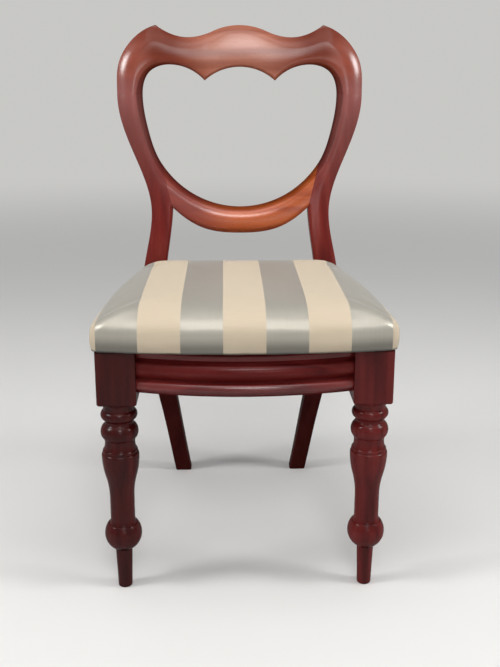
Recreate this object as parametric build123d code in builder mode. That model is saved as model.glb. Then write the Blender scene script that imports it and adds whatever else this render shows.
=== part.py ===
"""Balloon back dining chair with turned front legs, a moulded bowed front rail and a lift-off seat.

Millimetres, +Z up, +Y towards the back and +X to the right as seen from the front. The origin is on
the floor, midway between the front of the seat and the heels of the back feet.
"""

from build123d import *
import math
import os

# Seat rails: height of their tops, and the members of the front rail's moulding from the top down
rail_top = 400.0
rail_fillet_height = 12.5
rail_hollow_height = 6.0
rail_torus_height = 24.0
rail_sinking_height = 3.0
rail_bead_height = 20.0
rail_foot_height = 2.5
rail_hollow = 2.5
rail_torus_swell = 5.5
rail_sinking = 2.0
rail_bead_swell = 7.5
rail_apex = 14.0
rail_bow = 24.0
front_rail_back = 36.0
side_rail_thickness = 24.0
side_rail_setback = 2.0
side_rail_rear_setback = 7.0
back_rail_thickness = 24.0
rail_edge = 3.0

# Back uprights, side view: distances of their front faces behind the front leg blocks, and depths
upright_reach = 400.0
foot_kick = 67.0
shin_kick = 41.0
mid_rake = 24.0
crest_rake = 71.0
foot_depth = 32.0
shin_depth = 36.0
upright_depth = 38.0
waist_depth = 31.0
crest_depth = 23.0
shin_height = 100.0
mid_rise = 195.0
foot_lean = 0.27
crest_lean = 0.178

# Back uprights, front view: half-width of the pair at the seat, and how far other places lie from it
upright_outer = 182.0
upright_width = 42.0
square_above = 5.0
square_below = 7.0
foot_draw_in = 50.5
foot_width = 30.5
calf_draw_in = 22.5
calf_width = 33.9
calf_height = 176.0
waist_draw_in = 18.0
hip_draw_in = 8.0
hip_rise = 75.0
belly_swell = 12.0
belly_rise = 93.5
splay = 0.16

# Cross rail: rises above the seat rails and above each other, and steps inwards from the opening
cross_clearance = 99.5
cross_depth = 45.5
cross_flank_rise = 10.5
cross_flank_step = 53.5
cross_fork_rise = 47.0
cross_fork_step = 19.5
cross_top_rise = 75.5
cross_top_draw_in = 34.0

# Balloon: opening, joint between uprights and crest, outline of the crest, scallops below it
opening_mid_rise = 60.0
opening_mid_draw_in = 10.0
joint_rise = 66.0
joint_swell = 42.0
joint_width = 46.0
shoulder_rise = 52.0
shoulder_draw_in = 3.0
turn_rise = 28.0
turn_draw_in = 18.0
ear_rise = 41.0
ear_draw_in = 71.5
dip_drop = 20.7
dip_step = 49.5
ear_slope = 0.75
brow_drop = 11.0
brow_x = 50.0
scallop_rise = 52.0
scallop_draw_in = 50.0
scallop_turn_rise = 39.0
scallop_turn_draw_in = 13.0
cusp_drop = 28.0
cusp_x = 64.0
centre_scallop_drop = 4.0

# Rounding of the back: outer arrises, inner arrises of the legs, bevel round the opening, rear arrises
outer_round = 7.0
leg_round = 3.0
opening_bevel = 7.0
rear_round = 4.0

# Front legs: square block, then the turned members' lengths from the block down, and their radii
block_outer = 221.2
block_width = 59.5
block_depth = 57.0
block_drop = 19.0
block_edge = 1.5
neck_length = 12.5
upper_bead_length = 15.5
groove_length = 8.0
lower_bead_length = 24.0
collar_neck_length = 16.5
collar_length = 9.5
vase_length = 72.0
shank_length = 34.0
flare_length = 11.0
bulb_upper_length = 17.0
bulb_lower_length = 26.0
neck_top_radius = 27.0
neck_radius = 24.1
upper_bead_radius = 28.0
bead_root = 23.5
groove_radius = 21.9
lower_bead_radius = 28.9
collar_neck_radius = 23.4
collar_root = 25.0
collar_radius = 26.5
shoulder_radius = 28.8
shank_radius = 19.0
ring_root = 21.5
ring_radius = 24.0
bulb_radius = 29.0
ankle_radius = 13.2
toe_radius = 11.0
toe_round = 2.5

# Dowels, corner blocks and their screws, seat pegs
fit_clearance = 0.1
seat_clearance = 0.4
rail_dowel_radius = 4.5
rail_dowel_length = 40.0
rail_dowel_spacing = 30.0
rail_dowel_wall = 1.5
front_dowel_reach = 23.0
back_dowel_radius = 4.0
back_dowel_length = 36.0
back_dowel_spacing = 20.0
cross_dowel_length = 28.0
cross_dowel_foot = 13.0
cross_dowel_spacing = 16.0
brace_reach = 62.0
front_brace_drop = 8.0
brace_height = 45.0
screw_radius = 2.2
screw_head_radius = 4.2
screw_head_height = 2.6
screw_length = 30.0
screw_cover = 14.0
screw_drop = 15.0
rail_screw_reach = 30.0
side_screw_reach = 42.0
peg_radius = 4.8
peg_rise = 12.0
peg_depth = 24.0
peg_round = 1.5
peg_headroom = 2.0

# Seat: how far its widest line stands over the legs and uprights, and heights above the rails
seat_overhang = 27.0
seat_side_overhang = 11.8
seat_rear_overhang = 7.0
seat_front_bow = 19.0
seat_side_swell = 9.0
seat_back_gap = 3.0
seat_front_corner = 28.0
seat_back_corner = 30.0
least_corner = 5.0
seat_widest = 24.0
seat_crown = 67.0
seat_draw_in = 0.045
seat_fullness = 2.6
draw_in_steps = 3
crown_steps = 7
cover_thickness = 1.2
cover_gap = 0.3
cover_return = 36.5
seat_frame_inset = 19.0
seat_frame_thickness = 20.0
seat_member_width = 48.0
seat_joint_step = 3.0
seat_dowel_radius = 4.0
seat_dowel_length = 40.0
seat_dowel_spacing = 22.0
webbing_width = 50.0
webbing_thickness = 1.5
webbing_margin = 8.0
lengthwise_webs = 4
crosswise_webs = 4
hessian_thickness = 0.8
hessian_margin = 3.0
lining_clearance = 0.2

# Depths and heights of the rails, from the sizes above
heel_reach = upright_reach + foot_kick + foot_depth
front_y = (seat_overhang - heel_reach) / 2
upright_y = front_y + upright_reach
block_back = front_y + block_depth
rail_hollow_top = rail_top - rail_fillet_height
rail_torus_top = rail_hollow_top - rail_hollow_height
rail_sinking_top = rail_torus_top - rail_torus_height
rail_bead_top = rail_sinking_top - rail_sinking_height
rail_foot_top = rail_bead_top - rail_bead_height
rail_bottom = rail_foot_top - rail_foot_height
rail_height = rail_top - rail_bottom
square_top = rail_top + square_above
square_bottom = rail_bottom - square_below
mid_height = square_top + mid_rise

# Heights of the back, from the cross rail up to the ears
cross_rail_bottom = rail_top + cross_clearance
cross_rail_top = cross_rail_bottom + cross_depth
cross_flank_height = cross_rail_bottom + cross_flank_rise
cross_fork_height = cross_rail_bottom + cross_fork_rise
cross_top_height = cross_fork_height + cross_top_rise
hip_height = square_top + hip_rise
waist_height = cross_fork_height
belly_height = waist_height + belly_rise
opening_mid_height = cross_top_height + opening_mid_rise
crest_joint_height = opening_mid_height + joint_rise
shoulder_height = crest_joint_height + shoulder_rise
turn_height = shoulder_height + turn_rise
crest_height = turn_height + ear_rise
dip_height = crest_height - dip_drop
brow_height = crest_height - brow_drop
scallop_height = crest_joint_height + scallop_rise
scallop_turn_height = crest_joint_height + scallop_turn_rise
cusp_height = scallop_height - cusp_drop
centre_scallop_height = scallop_height - centre_scallop_drop

# Half-widths of the back
upright_inner = upright_outer - upright_width
foot_outer = upright_outer - foot_draw_in
foot_inner = foot_outer - foot_width
calf_outer = upright_outer - calf_draw_in
calf_inner = calf_outer - calf_width
waist_outer = upright_outer - waist_draw_in
hip_inner = upright_inner - hip_draw_in
belly_outer = upright_outer + belly_swell
joint_outer = upright_outer + joint_swell
joint_inner = joint_outer - joint_width
opening_mid = joint_inner - opening_mid_draw_in
shoulder_outer = joint_outer - shoulder_draw_in
turn_outer = joint_outer - turn_draw_in
ear_x = joint_outer - ear_draw_in
dip_x = ear_x - dip_step
scallop_x = joint_inner - scallop_draw_in
scallop_turn_x = joint_inner - scallop_turn_draw_in
cross_top_x = joint_inner - cross_top_draw_in
cross_fork_x = cross_top_x - cross_fork_step
cross_flank_x = cross_fork_x - cross_flank_step

# Places of the front legs, and heights of their turned members
block_inner = block_outer - block_width
leg_x = block_outer - block_width / 2
leg_y = front_y + block_depth / 2
block_bottom = rail_bottom - block_drop
upper_bead_top = block_bottom - neck_length
groove_top = upper_bead_top - upper_bead_length
lower_bead_top = groove_top - groove_length
collar_neck_top = lower_bead_top - lower_bead_length
collar_top = collar_neck_top - collar_neck_length
shoulder_mid = collar_top - collar_length
shank_top = shoulder_mid - vase_length
shank_foot = shank_top - shank_length
ring_height = shank_foot - flare_length
bulb_height = ring_height - bulb_upper_length
ankle_height = bulb_height - bulb_lower_length

# Places of the seat, and of the joints in its frame
seat_front_half = block_outer + seat_side_overhang
seat_back_half = upright_outer + seat_rear_overhang
seat_front_y = front_y - seat_overhang
seat_back_y = upright_y - seat_back_gap
frame_bottom = rail_top + cover_thickness
frame_top = frame_bottom + seat_frame_thickness
webs_top = frame_top + 2 * webbing_thickness
hessian_top = webs_top + hessian_thickness
seat_middle_y = (seat_front_y + seat_back_y) / 2
seat_member_back = seat_frame_inset + seat_member_width + seat_joint_step
seat_joint_y = seat_front_y + seat_front_bow + seat_member_back
seat_rear_joint_y = seat_back_y - seat_member_back
START = (Align.CENTER, Align.CENTER, Align.MIN)
END = (Align.CENTER, Align.CENTER, Align.MAX)


def other_side(place):
    """The same place on the other side of the chair."""
    origin, normal = place.origin, place.z_dir
    return Plane(origin=(-origin.X, origin.Y, origin.Z), z_dir=(-normal.X, normal.Y, normal.Z))


def both_sides(places):
    """Places on the right-hand side and their mirror images."""
    return places + [other_side(place) for place in places]


# Side and front views of the back


def back_side_view():
    """Side view of the back: square at the seat rails, raked above them and kicked back below."""
    rear_y = upright_y + upright_depth
    top_y, mid_y = upright_y + crest_rake, upright_y + mid_rake
    shin_y, foot_y = upright_y + shin_kick, upright_y + foot_kick
    with BuildSketch(Plane.YZ) as view:
        with BuildLine():
            Spline(
                (upright_y, square_top), (mid_y, mid_height), (top_y, crest_height),
                tangents=((0, 1), (crest_lean, 1)),
            )
            Line((top_y, crest_height), (top_y + crest_depth, crest_height))
            Spline(
                (top_y + crest_depth, crest_height), (mid_y + waist_depth, mid_height),
                (rear_y, square_top), tangents=((-crest_lean, -1), (0, -1)),
            )
            Line((rear_y, square_top), (rear_y, square_bottom))
            Spline(
                (rear_y, square_bottom), (shin_y + shin_depth, shin_height), (foot_y + foot_depth, 0),
                tangents=((0, -1), (foot_lean, -1)),
            )
            Line((foot_y + foot_depth, 0), (foot_y, 0))
            Spline(
                (foot_y, 0), (shin_y, shin_height), (upright_y, square_bottom),
                tangents=((-foot_lean, 1), (0, 1)),
            )
            Line((upright_y, square_bottom), (upright_y, square_top))
        make_face()
    return view.sketch


def upright_front_view():
    """Front view of the right-hand upright, from the foot to the crest joint."""
    with BuildSketch(Plane.XZ) as view:
        with BuildLine():
            Spline(
                (foot_outer, 0), (calf_outer, calf_height), (upright_outer, square_bottom),
                tangents=((splay, 1), (0, 1)),
            )
            Line((upright_outer, square_bottom), (upright_outer, square_top))
            Spline(
                (upright_outer, square_top), (waist_outer, waist_height),
                (belly_outer, belly_height), (joint_outer, crest_joint_height),
                tangents=((0, 1), (0, 1)),
            )
            Line((joint_outer, crest_joint_height), (joint_inner, crest_joint_height))
            Spline(
                (joint_inner, crest_joint_height), (opening_mid, opening_mid_height),
                (cross_top_x, cross_top_height), tangents=((0, -1), opening_direction()),
            )
            Line((cross_top_x, cross_top_height), (cross_fork_x, cross_fork_height))
            Spline(
                (cross_fork_x, cross_fork_height), (hip_inner, hip_height),
                (upright_inner, square_top), tangents=((0.05, -1), (0, -1)),
            )
            Line((upright_inner, square_top), (upright_inner, square_bottom))
            Spline(
                (upright_inner, square_bottom), (calf_inner, calf_height), (foot_inner, 0),
                tangents=((0, -1), (-splay, -1)),
            )
            Line((foot_inner, 0), (foot_outer, 0))
        make_face()
    return view.sketch


def opening_direction():
    """Downward direction of the opening's edge where the cross rail takes it over."""
    rise = cross_top_height - cross_rail_top
    return (rise - bow_radius(cross_top_x, rise), -cross_top_x)


def bow_radius(half_span, bow):
    """Radius of an arc from its half span and its bow."""
    return (half_span**2 + bow**2) / (2 * bow)


def crest_front_view():
    """Front view of the crest rail: two ears, a raised middle and three scallops below."""
    with BuildSketch(Plane.XZ) as view:
        with BuildLine():
            Line((joint_inner, crest_joint_height), (joint_outer, crest_joint_height))
            Spline(
                (joint_outer, crest_joint_height), (shoulder_outer, shoulder_height),
                (turn_outer, turn_height), (ear_x, crest_height), tangents=((0, 1), (-1, 0.25)),
            )
            brow = TangentArc((0, crest_height), (brow_x, brow_height), tangent=(1, 0))
            Spline(
                brow @ 1, (dip_x, dip_height), (ear_x, crest_height), tangents=(brow % 1, (1, ear_slope))
            )
            TangentArc((0, centre_scallop_height), (cusp_x, cusp_height), tangent=(1, 0))
            TangentArc((scallop_x, scallop_height), (cusp_x, cusp_height), tangent=(-1, 0))
            Spline(
                (scallop_x, scallop_height), (scallop_turn_x, scallop_turn_height),
                (joint_inner, crest_joint_height), tangents=((1, 0), (0, -1)),
            )
            mirror(about=Plane.YZ)
        make_face()
    return view.sketch


def cross_rail_front_view():
    """Front view of the cross rail, which closes the bottom of the balloon."""
    with BuildSketch(Plane.XZ) as view:
        with BuildLine():
            TangentArc((0, cross_rail_top), (cross_top_x, cross_top_height), tangent=(1, 0))
            Line((cross_top_x, cross_top_height), (cross_fork_x, cross_fork_height))
            Spline(
                (cross_fork_x, cross_fork_height), (cross_flank_x, cross_flank_height),
                (0, cross_rail_bottom), tangents=((-1, -0.95), (-1, 0)),
            )
            mirror(about=Plane.YZ)
        make_face()
    return view.sketch


def cross_joint():
    """Plane of the joint between the right-hand upright and the cross rail, from the fork upwards."""
    along = Vector(cross_top_x - cross_fork_x, 0, cross_top_height - cross_fork_height).normalized()
    fork = (cross_fork_x, back_middle(cross_fork_height + cross_dowel_foot), cross_fork_height)
    return Plane(origin=fork, x_dir=along, z_dir=along.cross(Vector(0, -1, 0)))


def back_middle(height):
    """Middle of the back's thickness at a height in the balloon."""
    low = upright_y + mid_rake + waist_depth / 2
    high = upright_y + crest_rake + crest_depth / 2
    return low + (high - low) * (height - mid_height) / (crest_height - mid_height)


def arrises(piece, facing, joints=()):
    """Long edges of the surfaces that face the front (-1) or the back (1), apart from joint edges."""
    surfaces = piece.faces().filter_by(lambda face: facing * face.normal_at().Y > 0.9)
    edges = surfaces.edges().filter_by(Axis.X, reverse=True)
    return edges.filter_by(
        lambda edge: all(abs(joint.to_local_coords(edge.center()).Z) > 1 for joint in joints)
    )


def side_rail_x(y, inset):
    """Outer face of the right-hand side rail at a depth, or a face that lies inside it by an inset."""
    front, rear = block_outer - side_rail_setback, upright_outer - side_rail_rear_setback
    return front + (rear - front) * (y - block_back) / (upright_y - block_back) - inset


def stacked(x, y, normal):
    """Two dowel places above each other on a seat rail's end."""
    middle = (rail_top + rail_bottom) / 2
    return [
        Plane(origin=(x, y, middle + side * rail_dowel_spacing / 2), z_dir=normal) for side in (-1, 1)
    ]


def dowels(places, radius, length):
    """A pin at each place, half on each side of the joint, or one bore for each."""
    with BuildPart() as pins:
        with Locations(*places):
            Cylinder(radius, length)
    return pins.part


def dowel_holes(places, radius, length):
    """The bores that the dowels sit in, a little wider and longer than they are."""
    return dowels(places, radius + fit_clearance, length + 2 * fit_clearance)


def rail_dowel_holes(places):
    """The bores for the dowels of the front rail and of the side rails."""
    return dowel_holes(places, rail_dowel_radius, rail_dowel_length)


# Places of the dowels, screws and pegs, for both sides of the chair

cross_face = cross_joint()
crest_joint_x = (joint_inner + joint_outer) / 2
front_rail_y = front_y + front_dowel_reach
back_rail_y = upright_y + back_rail_thickness / 2
crest_places = both_sides([
    Plane(
        origin=(crest_joint_x + side * back_dowel_spacing / 2, back_middle(crest_joint_height),
                crest_joint_height),
        z_dir=(0, crest_lean, 1),
    )
    for side in (-1, 1)
])
cross_places = both_sides([
    Plane(
        origin=cross_face.origin + cross_face.x_dir * (cross_dowel_foot + i * cross_dowel_spacing),
        z_dir=cross_face.z_dir,
    )
    for i in range(2)
])
front_rail_places = both_sides(stacked(block_inner, front_rail_y, (1, 0, 0)))
back_rail_places = both_sides(stacked(upright_inner, back_rail_y, (1, 0, 0)))
side_front_places = both_sides(
    stacked(side_rail_x(block_back, side_rail_thickness / 2), block_back, (0, 1, 0))
)
side_rear_places = both_sides(
    stacked(side_rail_x(upright_y, side_rail_thickness / 2), upright_y, (0, 1, 0))
)
# The back rail's dowels stop short of those of the side rails, which cross behind them in the uprights
back_rail_dowel_length = 2 * (
    upright_width - side_rail_rear_setback - side_rail_thickness / 2 - rail_dowel_radius - rail_dowel_wall
)


# The back

cross_faces = both_sides([cross_face])
between_edges = (upright_inner + calf_outer) / 2

with BuildPart() as right_back_upright:
    extrude(upright_front_view(), amount=heel_reach, both=True)
    extrude(back_side_view(), amount=block_outer * 2, both=True, mode=Mode.INTERSECT)
    front = arrises(right_back_upright, -1, cross_faces)
    chamfer(front.filter_by(lambda edge: edge.center().Z > cross_top_height), opening_bevel)
    front = arrises(right_back_upright, -1, cross_faces)
    front = front.filter_by(lambda edge: edge.center().Z < cross_top_height)
    fillet(front.filter_by(lambda edge: edge.center().X > between_edges), outer_round)
    front = arrises(right_back_upright, -1, cross_faces)
    fillet(front.filter_by(lambda edge: edge.center().X < between_edges), leg_round)
    fillet(arrises(right_back_upright, 1, cross_faces), rear_round)
    add(dowel_holes(crest_places, back_dowel_radius, back_dowel_length), mode=Mode.SUBTRACT)
    add(dowel_holes(cross_places, back_dowel_radius, cross_dowel_length), mode=Mode.SUBTRACT)
    add(dowel_holes(back_rail_places, rail_dowel_radius, back_rail_dowel_length), mode=Mode.SUBTRACT)
    add(rail_dowel_holes(side_rear_places), mode=Mode.SUBTRACT)
right_back_upright.part.label = "right_back_upright"

with BuildPart() as left_back_upright:
    mirror(right_back_upright.part, about=Plane.YZ)
left_back_upright.part.label = "left_back_upright"

with BuildPart() as crest_rail:
    extrude(crest_front_view(), amount=heel_reach, both=True)
    extrude(back_side_view(), amount=block_outer * 2, both=True, mode=Mode.INTERSECT)
    front = arrises(crest_rail, -1)
    chamfer(front.filter_by(lambda edge: edge.center().Z < scallop_height), opening_bevel)
    front = arrises(crest_rail, -1)
    fillet(front.filter_by(lambda edge: edge.center().Z > scallop_height), outer_round)
    fillet(arrises(crest_rail, 1), rear_round)
    add(dowel_holes(crest_places, back_dowel_radius, back_dowel_length), mode=Mode.SUBTRACT)
crest_rail.part.label = "crest_rail"

with BuildPart() as cross_rail:
    extrude(cross_rail_front_view(), amount=heel_reach, both=True)
    extrude(back_side_view(), amount=block_outer * 2, both=True, mode=Mode.INTERSECT)
    front = arrises(cross_rail, -1, cross_faces)
    chamfer(front.filter_by(lambda edge: edge.center().Z > cross_rail_top), opening_bevel)
    front = arrises(cross_rail, -1, cross_faces)
    fillet(front.filter_by(lambda edge: edge.center().Z < cross_rail_top), outer_round)
    fillet(arrises(cross_rail, 1, cross_faces), rear_round)
    add(dowel_holes(cross_places, back_dowel_radius, cross_dowel_length), mode=Mode.SUBTRACT)
cross_rail.part.label = "cross_rail"

with BuildPart() as crest_dowels:
    add(dowels(crest_places, back_dowel_radius, back_dowel_length))
crest_dowels.part.label = "crest_dowels"

with BuildPart() as cross_rail_dowels:
    add(dowels(cross_places, back_dowel_radius, cross_dowel_length))
cross_rail_dowels.part.label = "cross_rail_dowels"


# Seat rails


def front_rail_section():
    """Upright section of the front rail: fillet, hollow, torus, sinking and bead, from the top down."""
    face_y = front_y - rail_apex
    sunk_y = face_y + rail_sinking
    with BuildSketch(Plane.YZ) as shape:
        with BuildLine():
            Polyline(
                (face_y, rail_hollow_top), (face_y, rail_top), (block_back, rail_top),
                (block_back, rail_bottom), (sunk_y, rail_bottom), (sunk_y, rail_foot_top),
            )
            ThreePointArc(
                (sunk_y, rail_foot_top),
                (sunk_y - rail_bead_swell, (rail_foot_top + rail_bead_top) / 2),
                (sunk_y, rail_bead_top),
            )
            Line((sunk_y, rail_bead_top), (sunk_y, rail_sinking_top))
            ThreePointArc(
                (sunk_y, rail_sinking_top),
                (face_y - rail_torus_swell, (rail_sinking_top + rail_torus_top) / 2),
                (face_y, rail_torus_top),
            )
            ThreePointArc(
                (face_y, rail_torus_top),
                (face_y + rail_hollow, (rail_torus_top + rail_hollow_top) / 2),
                (face_y, rail_hollow_top),
            )
        make_face()
    return shape.sketch


def brace_plan(corner, reach_y, top, notch=()):
    """Corner block from the outline of its corner: two faces on the rails and a slanted one between."""
    rail_x = side_rail_x(reach_y, side_rail_thickness)
    with BuildSketch(Plane.XY.offset(top)) as plan:
        with BuildLine():
            Polyline(corner, (corner[0] - brace_reach, corner[1]), (rail_x, reach_y), *notch, close=True)
        make_face()
    return plan.sketch


def screw_holes(places):
    """Bores for screws and the recesses that let their heads in, open towards the chair's middle."""
    with BuildPart() as holes:
        with Locations(*places):
            Cylinder(screw_radius + fit_clearance, screw_length + fit_clearance, align=START)
            Cylinder(screw_head_radius + fit_clearance, brace_reach, align=END)
            Cylinder(screw_head_radius + fit_clearance, screw_head_height, align=START)
    return holes.part


front_brace_top = rail_top - front_brace_drop
front_brace_corner = (block_inner, front_y + front_rail_back)
rear_brace_corner = (upright_inner, upright_y)
front_screw_y = front_brace_corner[1] + side_screw_reach
rear_screw_y = rear_brace_corner[1] - side_screw_reach
front_screws = [
    Plane(origin=(block_inner - rail_screw_reach, front_brace_corner[1] + screw_cover,
                  front_brace_top - screw_drop), z_dir=(0, -1, 0)),
    Plane(origin=(side_rail_x(front_screw_y, side_rail_thickness) - screw_cover, front_screw_y,
                  front_brace_top - 2 * screw_drop), z_dir=(1, 0, 0)),
]
rear_screws = [
    Plane(origin=(upright_inner - rail_screw_reach, upright_y - screw_cover,
                  rail_top - screw_drop), z_dir=(0, 1, 0)),
    Plane(origin=(side_rail_x(rear_screw_y, side_rail_thickness) - screw_cover, rear_screw_y,
                  rail_top - 2 * screw_drop), z_dir=(1, 0, 0)),
]
screw_places = both_sides(front_screws + rear_screws)

with BuildPart() as front_rail:
    rail_radius = bow_radius(block_inner, rail_bow)
    bow_centre = (0, front_y - rail_apex + rail_radius, 0)
    revolve(front_rail_section(), axis=Axis(bow_centre, (0, 0, 1)))
    with Locations((0, front_y + front_rail_back, 0)):
        Box(2 * block_inner, rail_radius, 2 * rail_top, align=(Align.CENTER, Align.MAX, Align.CENTER),
            mode=Mode.INTERSECT)
    add(rail_dowel_holes(front_rail_places), mode=Mode.SUBTRACT)
    add(screw_holes(screw_places), mode=Mode.SUBTRACT)
front_rail.part.label = "front_rail"

with BuildPart() as back_rail:
    with Locations((0, upright_y, rail_bottom)):
        Box(2 * upright_inner, back_rail_thickness, rail_height,
            align=(Align.CENTER, Align.MIN, Align.MIN))
    fillet(back_rail.edges().filter_by(Axis.X).sort_by(Axis.Y)[2:], rail_edge)
    add(dowel_holes(back_rail_places, rail_dowel_radius, back_rail_dowel_length), mode=Mode.SUBTRACT)
    add(screw_holes(screw_places), mode=Mode.SUBTRACT)
back_rail.part.label = "back_rail"

with BuildPart() as right_side_rail:
    with BuildSketch(Plane.XY.offset(rail_bottom)):
        with BuildLine():
            Polyline(
                (side_rail_x(block_back, 0), block_back), (side_rail_x(upright_y, 0), upright_y),
                (side_rail_x(upright_y, side_rail_thickness), upright_y),
                (side_rail_x(block_back, side_rail_thickness), block_back), close=True,
            )
        make_face()
    extrude(amount=rail_height)
    outer_face = right_side_rail.faces().sort_by(Axis.X)[-1]
    fillet(outer_face.edges().filter_by(Axis.Z, reverse=True), rail_edge)
    add(rail_dowel_holes(side_front_places + side_rear_places), mode=Mode.SUBTRACT)
    add(screw_holes(screw_places), mode=Mode.SUBTRACT)
right_side_rail.part.label = "right_side_rail"

with BuildPart() as left_side_rail:
    mirror(right_side_rail.part, about=Plane.YZ)
left_side_rail.part.label = "left_side_rail"

with BuildPart() as seat_rail_dowels:
    long_places = front_rail_places + side_front_places + side_rear_places
    add(dowels(long_places, rail_dowel_radius, rail_dowel_length))
    add(dowels(back_rail_places, rail_dowel_radius, back_rail_dowel_length))
seat_rail_dowels.part.label = "seat_rail_dowels"

with BuildPart() as right_front_brace:
    rail_x = side_rail_x(block_back, side_rail_thickness)
    notch = ((rail_x, block_back), (block_inner, block_back))
    reach_y = front_brace_corner[1] + brace_reach
    extrude(brace_plan(front_brace_corner, reach_y, front_brace_top, notch), amount=-brace_height)
    add(screw_holes(screw_places), mode=Mode.SUBTRACT)
right_front_brace.part.label = "front_right_corner_block"

with BuildPart() as left_front_brace:
    mirror(right_front_brace.part, about=Plane.YZ)
left_front_brace.part.label = "front_left_corner_block"

with BuildPart() as right_rear_brace:
    notch = ((side_rail_x(upright_y, side_rail_thickness), upright_y),)
    reach_y = rear_brace_corner[1] - brace_reach
    extrude(brace_plan(rear_brace_corner, reach_y, rail_top, notch), amount=-brace_height)
    add(screw_holes(screw_places), mode=Mode.SUBTRACT)
right_rear_brace.part.label = "back_right_corner_block"

with BuildPart() as left_rear_brace:
    mirror(right_rear_brace.part, about=Plane.YZ)
left_rear_brace.part.label = "back_left_corner_block"

with BuildPart() as corner_block_screws:
    with Locations(*screw_places):
        Cylinder(screw_radius, screw_length, align=START)
        Cylinder(screw_head_radius, screw_head_height, align=START)
corner_block_screws.part.label = "corner_block_screws"


# Front legs


def turned_member(low_radius, low, middle_radius, high_radius, high):
    """Arc of a bead or a hollow between two heights, through its radius half-way up."""
    return ThreePointArc(
        (low_radius, low), (middle_radius, (low + high) / 2), (high_radius, high)
    )


def leg_half_section():
    """Half section of the turned leg, from its axis outwards, foot at the bottom."""
    with BuildSketch(Plane(origin=(leg_x, leg_y, 0), x_dir=(1, 0, 0), z_dir=(0, -1, 0))) as half:
        with BuildLine():
            Polyline((0, block_bottom), (0, 0), (toe_radius, 0), (ankle_radius, ankle_height))
            ThreePointArc(
                (ankle_radius, ankle_height), (bulb_radius, bulb_height), (ring_radius, ring_height)
            )
            Line((ring_radius, ring_height), (ring_root, ring_height))
            TangentArc((shank_radius, shank_foot), (ring_root, ring_height), tangent=(0, -1))
            Line((shank_radius, shank_foot), (shank_radius, shank_top))
            vase_middle = ((shank_radius + shoulder_radius) / 2, (shank_top + shoulder_mid) / 2)
            TangentArc((shank_radius, shank_top), vase_middle, tangent=(0, 1))
            TangentArc((shoulder_radius, shoulder_mid), vase_middle, tangent=(0, -1))
            TangentArc((shoulder_radius, shoulder_mid), (collar_radius, collar_top), tangent=(0, 1))
            Line((collar_radius, collar_top), (collar_root, collar_top))
            add(turned_member(collar_root, collar_top, collar_neck_radius, bead_root, collar_neck_top))
            add(turned_member(bead_root, collar_neck_top, lower_bead_radius, bead_root, lower_bead_top))
            add(turned_member(bead_root, lower_bead_top, groove_radius, bead_root, groove_top))
            add(turned_member(bead_root, groove_top, upper_bead_radius, bead_root, upper_bead_top))
            add(turned_member(bead_root, upper_bead_top, neck_radius, neck_top_radius, block_bottom))
            Line((neck_top_radius, block_bottom), (0, block_bottom))
        make_face()
    return half.sketch


with BuildPart() as right_front_leg:
    revolve(leg_half_section(), axis=Axis((leg_x, leg_y, 0), (0, 0, 1)))
    fillet(right_front_leg.edges().group_by(Axis.Z)[0], toe_round)
    with BuildSketch(Plane.XY.offset(block_bottom)):
        with Locations((leg_x, leg_y)):
            Rectangle(block_width, block_depth)
    extrude(amount=rail_top - block_bottom)
    corners = right_front_leg.edges().filter_by(Axis.Z).filter_by(GeomType.LINE)
    fillet(corners.filter_by(lambda edge: edge.center().Z > block_bottom), block_edge)
    add(rail_dowel_holes(front_rail_places + side_front_places), mode=Mode.SUBTRACT)
    with Locations((leg_x, leg_y, rail_top)):
        Cylinder(peg_radius + fit_clearance, peg_depth, align=END, mode=Mode.SUBTRACT)
right_front_leg.part.label = "right_front_leg"

with BuildPart() as left_front_leg:
    mirror(right_front_leg.part, about=Plane.YZ)
left_front_leg.part.label = "left_front_leg"

with BuildPart() as seat_pegs:
    with Locations((leg_x, leg_y, rail_top - peg_depth), (-leg_x, leg_y, rail_top - peg_depth)):
        Cylinder(peg_radius, peg_depth + peg_rise, align=START)
    fillet(seat_pegs.edges().group_by(Axis.Z)[-1], peg_round)
seat_pegs.part.label = "seat_pegs"


# The seat


def seat_plan(height, inset=0.0, share=1.0):
    """Plan of the seat at a height: a share of its widest outline, drawn in all round by an inset."""
    front = seat_middle_y + share * (seat_front_y + inset - seat_middle_y)
    back = seat_middle_y + share * (seat_back_y - inset - seat_middle_y)
    front_half, back_half = share * (seat_front_half - inset), share * (seat_back_half - inset)
    corner_y = front + share * seat_front_bow
    flank = ((front_half + back_half) / 2 + share * seat_side_swell, (corner_y + back) / 2)
    with BuildSketch(Plane.XY.offset(height)) as plan:
        with BuildLine():
            ThreePointArc((-front_half, corner_y), (0, front), (front_half, corner_y))
            ThreePointArc((front_half, corner_y), flank, (back_half, back))
            Line((back_half, back), (-back_half, back))
            ThreePointArc((-back_half, back), (-flank[0], flank[1]), (-front_half, corner_y))
        make_face()
        front_corners, back_corners = plan.vertices().group_by(Axis.Y)
        fillet(front_corners, share * max(seat_front_corner - inset, least_corner))
        fillet(back_corners, share * max(seat_back_corner - inset, least_corner))
    return plan.sketch


def seat_edge_x(y, inset):
    """Half-width of the seat's plan at a depth, drawn in by an inset."""
    corner_y = seat_front_y + seat_front_bow
    along = (y - corner_y) / (seat_back_y - corner_y)
    straight = seat_front_half + (seat_back_half - seat_front_half) * along
    return straight + 4 * seat_side_swell * along * (1 - along) - inset


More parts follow.
